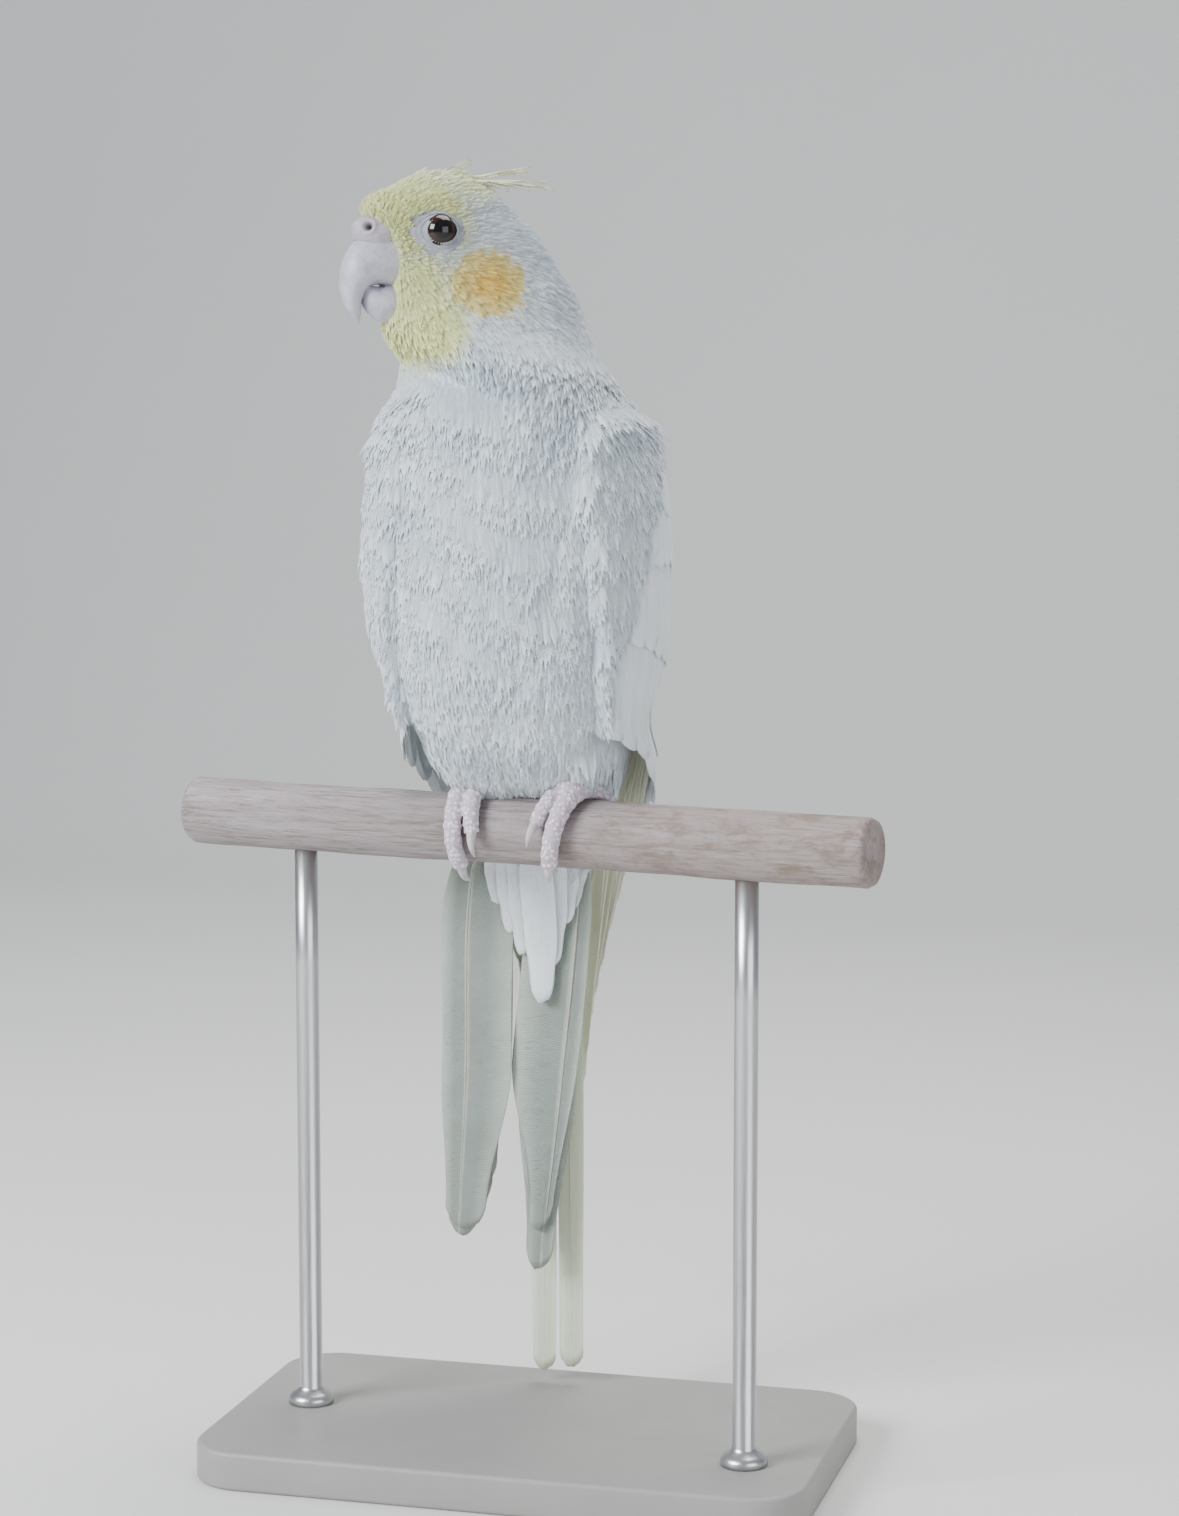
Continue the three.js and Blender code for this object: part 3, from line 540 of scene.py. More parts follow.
def bump(tree, shader, height, distance):
    """A bump of the given depth in metres."""
    node = tree.nodes.new("ShaderNodeBump")
    node.inputs["Strength"].default_value = 1.0
    node.inputs["Distance"].default_value = distance
    tree.links.new(height, node.inputs["Height"])
    tree.links.new(node.outputs[0], shader.inputs["Normal"])


def scaled(tree, value, factor, add=0.0):
    return math_node(tree, "MULTIPLY_ADD", value, factor, add)


def tinted(tree, colour, tone):
    """A colour darkened by a value or another colour."""
    return mix_colour(tree, 1.0, colour, tone, "MULTIPLY")


def surface(tree, shader, colour, roughness, plain):
    """Links colour and roughness, and sets the plain values on the shader itself."""
    tree.links.new(colour, shader.inputs["Base Color"])
    tree.links.new(roughness, shader.inputs["Roughness"])
    for label, value in plain.items():
        shader.inputs[label].default_value = value


def glow(weight, reach, depth):
    """Values for light that goes a little way in: weight, reach by colour, depth in metres."""
    return {"Subsurface Weight": weight, "Subsurface Radius": reach, "Subsurface Scale": depth}


FEATHER_REACH = (1.0, 0.95, 0.85)

# %% Body feathers
COAT_LINES, COAT_SLANT, COAT_BUMP = 42.0, 0.35, 0.00012
body_coat_finish, tree, shader, place = new_material("Body coat")
colours = add_group(tree, plumage, Place=place)
vane = add_group(tree, barbs, Vane=uv_map(tree, "vane"), Lines=COAT_LINES, Slant=COAT_SLANT)
# painted shade: the plumage colour is darkened in the grooves between the barbs, where the bump is
# low
barb_shaded_colour = tinted(tree, colours["Colour"], scaled(tree, vane["Height"], 0.16, 0.86))
soft_look = {"Specular IOR Level": 0.22, "Sheen Weight": 0.25, "Sheen Roughness": 0.5}
soft_look |= glow(0.35, FEATHER_REACH, 0.003)
surface(tree, shader, barb_shaded_colour, scaled(tree, colours["Tone"], 0.2, 0.66), soft_look)
bump(tree, shader, vane["Height"], COAT_BUMP)

skin_material, tree, shader, place = new_material("Skin under coat")
colours = add_group(tree, plumage, Place=place)
grain = add_group(tree, mottle, Place=place, Scale=300.0, Grain=1800.0)
# painted shade: the skin seen between the tufts is darker than the plumage colour, with a fine
# random grain on top
grain_and_painted_shade = tinted(tree, colours["Colour"], scaled(tree, grain["Fine"], 0.25, 0.72))
surface(tree, shader, grain_and_painted_shade, scaled(tree, grain["Tone"], 0.2, 0.7), {})
bump(tree, shader, grain["Fine"], 0.0004)
print("coat finishes ready")


# %% Flight and tail feathers
def vane_finish(name, web, edge, shaft_colour, lines, depth=0.00008, contrast=0.14):
    """Smooth flight feathers: firm barbs with painted shade between them, a lighter shaft, tinted
    edges.
    """
    material, tree, shader, place = new_material(name)
    vane_place = uv_map(tree, "vane")
    vane = add_group(tree, barbs, Vane=vane_place, Lines=lines, Slant=0.3)
    grain = add_group(tree, mottle, Place=place, Scale=90.0, Grain=900.0)
    across = tree.nodes.new("ShaderNodeSeparateXYZ")
    tree.links.new(vane_place, across.inputs[0])
    margin = math_node(tree, "ABSOLUTE", math_node(tree, "SUBTRACT", across.outputs[0], 0.5))
    colour = mix_colour(tree, ramp_value(tree, margin, 0.2, 0.5), web, edge)
    colour = mix_colour(
        tree, math_node(tree, "MULTIPLY", vane["Shaft"], 0.8), colour, shaft_colour
    )
    # painted shade: the colour is darkened in the grooves between the barbs, where the bump is low
    barb_groove_shade = scaled(tree, vane["Height"], contrast, 1.02 - contrast)
    uneven = scaled(tree, grain["Tone"], 1.1 * contrast, 1.05 - contrast)
    colour = tinted(tree, colour, math_node(tree, "MULTIPLY", barb_groove_shade, uneven))
    look = {"Specular IOR Level": 0.3, "Sheen Weight": 0.12, **glow(0.2, FEATHER_REACH, 0.0015)}
    surface(tree, shader, colour, scaled(tree, grain["Tone"], 0.2, 0.48), look)
    splits = math_node(tree, "MULTIPLY", vane["Split"], 1.5)
    bump(tree, shader, math_node(tree, "SUBTRACT", vane["Height"], splits), depth)
    return material


# name: colours of web, edge and shaft, then barb lines along 30 mm, bump depth and contrast
wing_finish = vane_finish(
    "Wing vanes", (0.80, 0.86, 0.90, 1), (0.84, 0.89, 0.91, 1), (0.9, 0.92, 0.92, 1), 170.0
)
primary_finish = vane_finish(
    "Primary vanes", (0.95, 0.95, 0.68, 1), (0.97, 0.97, 0.74, 1), (0.96, 0.95, 0.80, 1), 220.0
)
tail_finish = vane_finish(
    "Tail vanes",
    (0.31, 0.36, 0.32, 1),
    (0.50, 0.56, 0.49, 1),
    (0.58, 0.60, 0.51, 1),
    200.0,
    depth=0.00012,
    contrast=0.32,
)
long_tail_finish = vane_finish(
    "Long tail vanes", (0.70, 0.79, 0.56, 1), (0.80, 0.87, 0.66, 1), (0.86, 0.89, 0.72, 1), 300.0
)
crest_finish = vane_finish(
    "Crest vanes", (0.86, 0.88, 0.52, 1), (0.92, 0.93, 0.66, 1), (0.94, 0.92, 0.66, 1), 80.0
)
print("vane finishes ready")


# %% Horn and bare skin
def horn_finish(name, base, dark, roughness, scale, depth):
    """Horn or bare skin: two tones by mottle, with fine flakes in the bump."""
    material, tree, shader, place = new_material(name)
    grain = add_group(tree, mottle, Place=place, Scale=scale, Grain=scale * 9)
    mixed = mix_colour(tree, ramp_value(tree, grain["Tone"], 0.35, 0.7), base, dark)
    colour = tinted(tree, mixed, scaled(tree, grain["Fine"], 0.22, 0.88))
    look = glow(0.15, (1.0, 0.6, 0.5), 0.001)
    surface(tree, shader, colour, scaled(tree, grain["Fine"], 0.25, roughness), look)
    height = math_node(tree, "ADD", grain["Fine"], scaled(tree, grain["Tone"], 1.5))
    bump(tree, shader, height, depth)
    return material


# name: pale and dark tone, roughness, size of the mottle, bump depth
bill_finish = horn_finish(
    "Bill horn", (0.45, 0.44, 0.51, 1), (0.33, 0.325, 0.40, 1), 0.38, 260.0, 0.00012
)
cere_finish = horn_finish(
    "Cere skin", (0.42, 0.38, 0.42, 1), (0.33, 0.31, 0.36, 1), 0.5, 420.0, 0.00022
)
lid_finish = horn_finish(
    "Lid skin", (0.31, 0.325, 0.362, 1), (0.22, 0.235, 0.262, 1), 0.55, 420.0, 0.00022
)
claw_finish = horn_finish(
    "Claw horn", (0.52, 0.48, 0.49, 1), (0.40, 0.37, 0.39, 1), 0.32, 350.0, 0.00008
)


def mask_of(tree, name):
    """An attribute of the mesh as a value."""
    node = tree.nodes.new("ShaderNodeAttribute")
    node.attribute_name = name
    return node.outputs["Fac"]


# painted shade: the nostril's dent is darkened nearly to black in the colour
tree = cere_finish.node_tree
cere_socket = tree.nodes["Principled BSDF"].inputs["Base Color"]
cere_colour = cere_socket.links[0].from_socket
nostril_painted_shade = mix_colour(tree, mask_of(tree, "nostril_shade_mask"), cere_colour, (0.04, 0.03, 0.035, 1))
tree.links.new(nostril_painted_shade, cere_socket)
print("horn and skin finishes ready")

# %% Eye glass
eye_finish, tree, shader, place = new_material("Eye")
iris_grain = noise(tree, place, 1400.0, 3.0, 0.6)
iris_tone = mix_colour(tree, iris_grain, (0.014, 0.006, 0.004, 1), (0.028, 0.011, 0.007, 1))
pupil = ramp_value(tree, mask_of(tree, "iris"), 0.52, 0.60)
eye_colour = mix_colour(tree, pupil, (0.004, 0.003, 0.003, 1), iris_tone)
wet_look = {"Coat Weight": 0.35, "Specular IOR Level": 0.25, "Coat Roughness": 0.02}
surface(tree, shader, eye_colour, scaled(tree, iris_grain, 0.05, 0.03), wet_look)
print("eye finish ready")

# %% [markdown]
# A parrot's toes are covered in small pebbly scales, pale in the middle. Cells of a Voronoi pattern
# give both the colour and the bump, and the creases between the scales are painted greyer as shade.

# %% Scaly toes
foot_finish, tree, shader, place = new_material("Toe scales")
cells = tree.nodes.new("ShaderNodeTexVoronoi")
cells.inputs["Scale"].default_value = 820.0
cells.inputs["Randomness"].default_value = 0.75
tree.links.new(place, cells.inputs["Vector"])
crease = ramp_value(tree, cells.outputs["Distance"], 0.28, 0.62)
grain = add_group(tree, mottle, Place=place, Scale=300.0, Grain=2500.0)
scale_tone = mix_colour(tree, grain["Tone"], (0.80, 0.72, 0.77, 1), (0.68, 0.60, 0.67, 1))
# painted shade: the creases between the scales are darkened in the colour
scale_tone = mix_colour(tree, crease, scale_tone, (0.46, 0.39, 0.46, 1))
look = glow(0.12, (1.0, 0.5, 0.4), 0.001)
surface(tree, shader, scale_tone, scaled(tree, crease, 0.2, 0.48), look)
bump(tree, shader, math_node(tree, "SUBTRACT", 1.0, crease), 0.00022)
print("toe finish ready")

# %% [markdown]
# The perch is bare weathered wood: grey-beige, with long grain, fine cracks and a mottled
# brown stain to the right. The pattern is squeezed along the perch, so it runs with it.

# %% Weathered wood
wood_finish, tree, shader, place = new_material("Perch wood")
lengthwise = tree.nodes.new("ShaderNodeMapping")
lengthwise.vector_type = "TEXTURE"
lengthwise.inputs["Location"].default_value = row_place((0, 0, 0))
lengthwise.inputs["Rotation"].default_value = (0, 0, PERCH_YAW)
tree.links.new(place, lengthwise.inputs["Vector"])
on_perch = lengthwise.outputs[0]
squeezed = vector_node(tree, "MULTIPLY", on_perch, (0.07, 1.0, 1.0))
streaks = noise(tree, squeezed, 1000.0, 6.0, 0.7, 0.6)
broad = noise(tree, squeezed, 240.0, 4.0, 0.6, 0.3)
fibre = noise(tree, squeezed, 3600.0, 3.0, 0.7)
patches = noise(
    tree, vector_node(tree, "MULTIPLY", on_perch, (0.5, 1.0, 1.0)), 210.0, 6.0, 0.7, 0.4
)
down_perch = tree.nodes.new("ShaderNodeSeparateXYZ")
tree.links.new(on_perch, down_perch.inputs[0])
to_right = ramp_value(tree, down_perch.outputs[0], -0.02, 0.06)
stained = ramp_value(tree, patches, 0.46, 0.66)
stain = math_node(tree, "MULTIPLY", stained, scaled(tree, to_right, 0.75, 0.12))
pale = ramp_value(tree, broad, 0.3, 0.7)
wood = mix_colour(tree, pale, (0.28, 0.24, 0.235, 1), (0.36, 0.32, 0.335, 1))
for patch, colour in (
    (ramp_value(tree, streaks, 0.45, 0.70), (0.17, 0.135, 0.12, 1)),
    (math_node(tree, "MULTIPLY", to_right, 0.35), (0.31, 0.24, 0.20, 1)),
    (stain, (0.20, 0.145, 0.115, 1)),
):
    wood = mix_colour(tree, patch, wood, colour)
wood = tinted(tree, wood, scaled(tree, fibre, 0.5, 0.72))
surface(tree, shader, wood, scaled(tree, streaks, 0.2, 0.66), {})
height = math_node(tree, "ADD", scaled(tree, streaks, -1.0), scaled(tree, fibre, 0.5))
bump(tree, shader, height, 0.0005)
print("wood finish ready")

# %% Steel and paint of the stand
rod_finish, tree, shader, place = new_material("Stand rod steel")
drawn = vector_node(tree, "MULTIPLY", place, (1.0, 1.0, 0.03))
lines = noise(tree, drawn, 2600.0, 3.0, 0.6)
steel = mix_colour(tree, lines, (0.50, 0.50, 0.51, 1), (0.66, 0.66, 0.67, 1))
surface(tree, shader, steel, scaled(tree, lines, 0.2, 0.22), {"Metallic": 1.0})
bump(tree, shader, lines, 0.00002)

base_finish, tree, shader, place = new_material("Stand base paint")
grain = add_group(tree, mottle, Place=place, Scale=60.0, Grain=2200.0)
paint = mix_colour(tree, grain["Tone"], (0.25, 0.245, 0.235, 1), (0.31, 0.30, 0.29, 1))
surface(tree, shader, paint, scaled(tree, grain["Fine"], 0.2, 0.38), {})
bump(tree, shader, grain["Fine"], 0.00004)
print("stand finishes ready")

# %% [markdown]
# ## The skin
# One skin runs from the tail's root to the crown, a coat's depth inside the solids. It is a
# grid on the slices, joined with the thighs by a voxel remesh so that no seam shows.


# %% Skin
COAT_DEPTH_BODY = 1.5
COAT_DEPTH_HEAD = 1.3


def coat_depth(z):
    return COAT_DEPTH_BODY + (COAT_DEPTH_HEAD - COAT_DEPTH_BODY) * smooth_step(108, 140, z)


def skin_swell(z, angles):
    """Soft forms between the slices: the brow above the cere, and folds of the breast."""
    turned = (angles + np.pi) % (2 * np.pi) - np.pi
    sideways = np.abs(turned)
    brow = 1.7 * np.exp(-(((z - 152.4) / 2.6) ** 2) - (turned / 0.55) ** 2)
    brow -= 1.1 * np.exp(-(((z - 159.5) / 3.0) ** 2) - (turned / 0.8) ** 2)
    nape = smooth_step(1.2, 2.4, sideways) * smooth_step(134, 143, z) * smooth_step(158, 151, z)
    brow -= 1.6 * nape
    low_down = smooth_step(66, 30, z) * smooth_step(-14, 10, z)
    groove = -1.1 * np.exp(-((turned / 0.16) ** 2)) * smooth_step(44, 20, z) * smooth_step(0, 8, z)
    thigh_fold = 0.9 * np.exp(-(((sideways - 0.62) / 0.26) ** 2)) * low_down
    crease = -0.9 * np.exp(-(((sideways - 0.98 + 0.003 * (z - 30)) / 0.10) ** 2)) * low_down
    on_body = smooth_step(122, 108, z) * smooth_step(-10, 10, z)
    waves = 0.34 * np.sin(
        0.13 * z + 2.4 * np.sin(1.7 * turned + 0.8)
    ) * np.cos(4.3 * turned + 0.05 * z)
    waves += 0.22 * np.sin(0.31 * z + 3.0 * np.cos(2.3 * turned)) * np.sin(7.1 * turned + 0.11 * z)
    return brow + groove + thigh_fold + crease + waves * on_body


skin_heights = np.concatenate([np.arange(-19, 158, 1.5), np.linspace(158, 164.6, 8)])
skin_angles = np.linspace(0, 2 * np.pi, 130, endpoint=False)
height_grid, angle_grid = np.meshgrid(skin_heights, skin_angles, indexing="ij")
skin_grow = skin_swell(height_grid, angle_grid) - coat_depth(height_grid)
skin_grid = section_point(BODY, height_grid, angle_grid, skin_grow)
CROWN_FROM, CROWN_TOP = 154.0, 162.7
crown_part = np.maximum(skin_grid[..., 2] - CROWN_FROM, 0)
crown_back = smooth_step(0.9, 2.2, np.abs((angle_grid + np.pi) % (2 * np.pi) - np.pi))
skin_grid[..., 2] -= (0.18 - 0.06 * crown_back) * crown_part
skin_ends = np.array([[-1, 26.2, -19.8], [*head_point(6, 0, 0)[:2], CROWN_TOP]])
skin = add_mesh("skin", *tube_mesh(skin_grid, skin_ends))
thigh_parts = []
for side, place_along in THIGH_PLACES.items():
    x = perch_point(place_along, 0.0, 0.0)[0]
    table = np.array(THIGH)
    ring_angles = np.linspace(0, 2 * np.pi, 32, endpoint=False)
    radii = table[:, 2] - 1.0
    rings = np.stack(
        [
            x + radii[:, None] * np.cos(ring_angles),
            table[:, 1:2] + radii[:, None] * np.sin(ring_angles),
            np.repeat(table[:, :1], 32, axis=1),
        ],
        axis=-1,
    )
    ends = np.array([[x, table[0, 1], table[0, 0] - 0.4], [x, table[-1, 1], table[-1, 0]]])
    thigh_parts.append(add_mesh(f"thigh_form_{side}", *tube_mesh(rings, ends)))


def join_pieces(main, others):
    """Joins other pieces into the main one."""
    with bpy.context.temp_override(
        active_object=main, object=main, selected_editable_objects=[main, *others]
    ):
        bpy.ops.object.join()
    return main


def bake_modifiers(piece):
    """Turns a piece with modifiers into a plain mesh."""
    depsgraph = bpy.context.evaluated_depsgraph_get()
    mesh = bpy.data.meshes.new_from_object(piece.evaluated_get(depsgraph))
    piece.modifiers.clear()
    piece.data = mesh
    return piece


def fuse(piece, voxel, passes, factor=0.5):
    """Fuses overlapping closed parts of a piece into one smooth closed surface."""
    remesh = piece.modifiers.new("fuse", "REMESH")
    remesh.mode = "VOXEL"
    remesh.voxel_size = voxel * MM
    soften = piece.modifiers.new("soften", "SMOOTH")
    soften.iterations = passes
    soften.factor = factor
    bake_modifiers(piece)
    piece.data.shade_smooth()
    return piece


face_outwards(skin)
for part in thigh_parts:
    face_outwards(part)
join_pieces(skin, thigh_parts)
fuse(skin, 1.0, 2)
skin.data.materials.clear()
skin.data.materials.append(skin_material)


def mesh_points(mesh):
    """Vertices of a mesh in millimetres about the perch."""
    flat = np.empty(len(mesh.vertices) * 3)
    mesh.vertices.foreach_get("co", flat)
    return flat.reshape(-1, 3) / MM - ORIGIN


def mesh_normals(mesh):
    flat = np.empty(len(mesh.vertices) * 3)
    mesh.vertices.foreach_get("normal", flat)
    return flat.reshape(-1, 3)


print("skin faces", len(skin.data.polygons))

# %% [markdown]
# The skin is unwrapped by its own shape: round the body in U, and up it in V. The same
# function later places each tuft's small patch, so the two maps agree.

# %% Unwrap of the skin
UNWRAP_LOW, UNWRAP_HIGH = -34.0, 168.0
TUFT_PATCH = 0.003


def unwrap(points):
    """U and V of points: turn about the body's middle line, and height."""
    row = rows_at(BODY, points[:, 2])
    t = np.radians(row[:, 6])
    dx, dy = points[:, 0] - row[:, 1], points[:, 1] - row[:, 2]
    ahead = dx * np.sin(t) - dy * np.cos(t)
    across = dx * np.cos(t) + dy * np.sin(t)
    u = (np.arctan2(across, -ahead) / (2 * np.pi)) % 1.0
    v = (points[:, 2] - UNWRAP_LOW) / (UNWRAP_HIGH - UNWRAP_LOW)
    return np.stack([0.02 + 0.96 * u, 0.02 + 0.96 * np.clip(v, 0, 1)], axis=1)


def corner_vertices(mesh):
    index = np.empty(len(mesh.loops), np.int32)
    mesh.loops.foreach_get("vertex_index", index)
    return index


skin_points = mesh_points(skin.data)
skin_normals = mesh_normals(skin.data)
corners = corner_vertices(skin.data)
skin_uv = unwrap(skin_points)[corners]
loop_starts = np.array([face.loop_start for face in skin.data.polygons])
loop_counts = np.array([face.loop_total for face in skin.data.polygons])
face_of_corner = np.repeat(np.arange(len(loop_starts)), loop_counts)
highest_u = np.maximum.reduceat(skin_uv[:, 0], loop_starts)[face_of_corner]
skin_uv[:, 0] += ((highest_u - skin_uv[:, 0]) > 0.5) * 0.96
skin_map = skin.data.uv_layers.new(name="OFBake")
skin_map.data.foreach_set("uv", skin_uv.astype(np.float32).ravel())
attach(skin, "root")
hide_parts("head", "neck", "torso", "thigh_left", "thigh_right")
skin_tree = BVHTree.FromPolygons(
    [tuple(p) for p in skin_points], [tuple(f.vertices) for f in skin.data.polygons]
)
print("skin corners", len(corners))

# %% [markdown]
# ## The lie of the coat
# Feathers run back from the bill over the head, then down the neck, breast and back, and in
# under the belly. We store that direction, the length of a feather and how much of the skin
# it covers as attributes on the skin, and Geometry Nodes reads them.

# %% Direction, length and cover
ahead_of, left_of, up_of = head_place(skin_points)
from_bill = skin_points - head_point(21.0, 0.0, -1.0)
from_bill /= np.linalg.norm(from_bill, axis=1)[:, None]
down = np.tile(np.array([0.0, 0.12, -1.0]), (len(skin_points), 1))
under = smooth_step(26, 6, skin_points[:, 2]) * smooth_step(22, -14, skin_points[:, 1])
down[:, 1] += 0.8 * under
outward = np.sign(skin_points[:, 0]) * smooth_step(4, 26, np.abs(skin_points[:, 0]))
front_side = smooth_step(6, -10, skin_points[:, 1]) * smooth_step(20, 50, skin_points[:, 2])
down[:, 0] += 0.22 * outward * front_side
down[:, 1] -= 0.7 * smooth_step(10, -8, skin_points[:, 1]) * smooth_step(
    100, 112, skin_points[:, 2]
)
on_head = smooth_step(-29, -15, up_of)[:, None]
lie = on_head * from_bill + (1 - on_head) * down
lie -= np.sum(lie * skin_normals, axis=1)[:, None] * skin_normals
lie /= np.maximum(np.linalg.norm(lie, axis=1), 1e-6)[:, None]

EYE_BARE = {"forward": 7.4, "back": 5.2, "above": 4.5, "below": 5.9}


def eye_oval(ahead, up):
    """Distance from the eye's middle, as a share of its bare ring's reach that way."""
    a, u = ahead - EYE["ahead"], up - EYE["up"]
    reach_a = np.where(a > 0, EYE_BARE["forward"], EYE_BARE["back"])
    reach_u = np.where(u > 0, EYE_BARE["above"], EYE_BARE["below"])
    return np.sqrt((a / reach_a) ** 2 + (u / reach_u) ** 2)


def wing_cover(points):
    """1 where a wing hides the skin well inside its edges."""
    angle = np.degrees(
        np.abs(np.arctan2(points[:, 0], -(points[:, 1] - rows_at(BODY, points[:, 2])[:, 2])))
    )
    z = points[:, 2]
    front = np.interp(z, [10, 30, 50, 85, 96, 104], [98, 82, 68, 72, 80, 90])
    back = np.interp(z, [10, 30, 50, 70, 85, 104], [160, 158, 150, 140, 126, 104])
    inside = (angle > front) & (angle < back) & (z > 27) & (z < 102)
    return inside.astype(float)


bare_limit = np.where(ahead_of > EYE["ahead"] + 2, 1.12, 0.92)
bare = (eye_oval(ahead_of, up_of) < bare_limit) & (np.abs(left_of) > 7)
bill_seat = (ahead_of > 15.5) & (np.abs(left_of) < 4.4) & (up_of < 7.2) & (up_of > -14.5)
hubs = [perch_point(place, math.radians(16), 12.6) for place in THIGH_PLACES.values()]
near_hub = np.min([np.linalg.norm(skin_points - hub, axis=1) for hub in hubs], axis=0) < 4.6
cover = np.where(bare | bill_seat | near_hub, 0.0, 1.0) * (1 - wing_cover(skin_points))
face_near = smooth_step(30, 6, np.linalg.norm(skin_points - head_point(20.0, 0.0, -2.0), axis=1))
length = 8.2 + (4.3 - 8.2) * smooth_step(112, 142, skin_points[:, 2])
length = length * (1 - 0.30 * face_near)
length *= 1 - 0.25 * smooth_step(14, 4, skin_points[:, 2]) * (skin_points[:, 1] < 8)
on_crown = smooth_step(13, 17, up_of) * smooth_step(16, 6, ahead_of)
length *= 1 + 0.15 * on_crown
near_eye = smooth_step(1.8, 0.9, eye_oval(ahead_of, up_of)) * (np.abs(left_of) > 7)
length *= 1 - 0.3 * near_eye
print(
    "cover", round(float(cover.mean()), 3), "lengths", length.min().round(2), length.max().round(2)
)


# %% Writing them on the skin
def store(mesh, name, kind, values):
    """Stores one value or vector for each vertex."""
    layer = mesh.attributes.new(name, kind, "POINT")
    layer.data.foreach_set(
        "vector" if kind == "FLOAT_VECTOR" else "value", np.asarray(values, np.float32).ravel()
    )


ground_mesh = skin.data.copy()
ground = bpy.data.objects.new("coat_ground", ground_mesh)
bpy.context.scene.collection.objects.link(ground)
store(ground_mesh, "lie", "FLOAT_VECTOR", lie)
store(ground_mesh, "feather_length", "FLOAT", length)
store(ground_mesh, "cover", "FLOAT", cover)

# %% [markdown]
# A body feather is a cupped, rounded web whose end breaks into a few soft points. On the face
# the feathers are as narrow as hairs. We make four broad ones of 24 triangles and four narrow
# ones of 12, all one unit long, and let the nodes pick among them.

# %% Tuft shapes
random = np.random.default_rng(5)


def tuft(name, width, ragged, points_across):
    """One small feather: root at the origin, lying along +Y, cupped about +Z."""
    spread = np.linspace(-1, 1, points_across)
    notch = (spread[1:] + spread[:-1]) / 2
    root = [(0.0, -0.04, -0.03)]
    middle = [(0.42 * width * s, 0.42 - 0.10 * s * s, 0.03 - 0.05 * s * s) for s in spread]
    reach = 1 - 0.30 * spread**2 + ragged * random.uniform(-1, 1, points_across)
    tips = [
        (
            0.52 * width * s + 0.02 * random.uniform(-1, 1),
            r,
            0.01 - 0.08 * s * s + 0.01 * random.uniform(-1, 1),
        )
        for s, r in zip(spread, reach)
    ]
    clefts = [(0.50 * width * s, 0.80 - 0.24 * s * s, 0.02 - 0.07 * s * s) for s in notch]
    points = np.array(root + middle + tips + clefts)
    m, t, c = 1, 1 + points_across, 1 + 2 * points_across
    faces = []
    for i in range(points_across - 1):
        faces += [
            (0, m + i + 1, m + i),
            (m + i, m + i + 1, c + i),
            (m + i, c + i, t + i),
            (m + i + 1, t + i + 1, c + i),
        ]
    vane = np.stack([points[:, 0] / width + 0.5, points[:, 1]], axis=1)
    corner = np.array([i for face in faces for i in face])
    piece = add_mesh(name, points / MM, faces, uvs={"vane": vane[corner]}, where=np.zeros(3))
    piece.data.materials.append(body_coat_finish)
    return piece


TUFT_SHELVES = {
    "broad": (7, [(0.46, 0.10), (0.54, 0.12), (0.40, 0.12), (0.50, 0.09)]),
    "narrow": (4, [(0.24, 0.12), (0.32, 0.14), (0.19, 0.12), (0.28, 0.16)]),
}
shelves = {}
for kind, (points_across, shapes) in TUFT_SHELVES.items():
    shelves[kind] = bpy.data.collections.new(f"{kind}_tufts")
    bpy.context.scene.collection.children.link(shelves[kind])
    for number, (width, ragged) in enumerate(shapes):
        shape = tuft(f"{kind}_tuft_{number}", width, ragged, points_across)
        bpy.context.scene.collection.objects.unlink(shape)
        shelves[kind].objects.link(shape)
    print(kind, "tuft triangles", len(shape.data.polygons))

# %% [markdown]
# The coat tree scatters points over the skin at a set spacing, stands a tuft on each with
# its length along the lie, leans and turns it a little at random, and realizes the lot. The
# root's place is stored on every vertex, for the bake map.


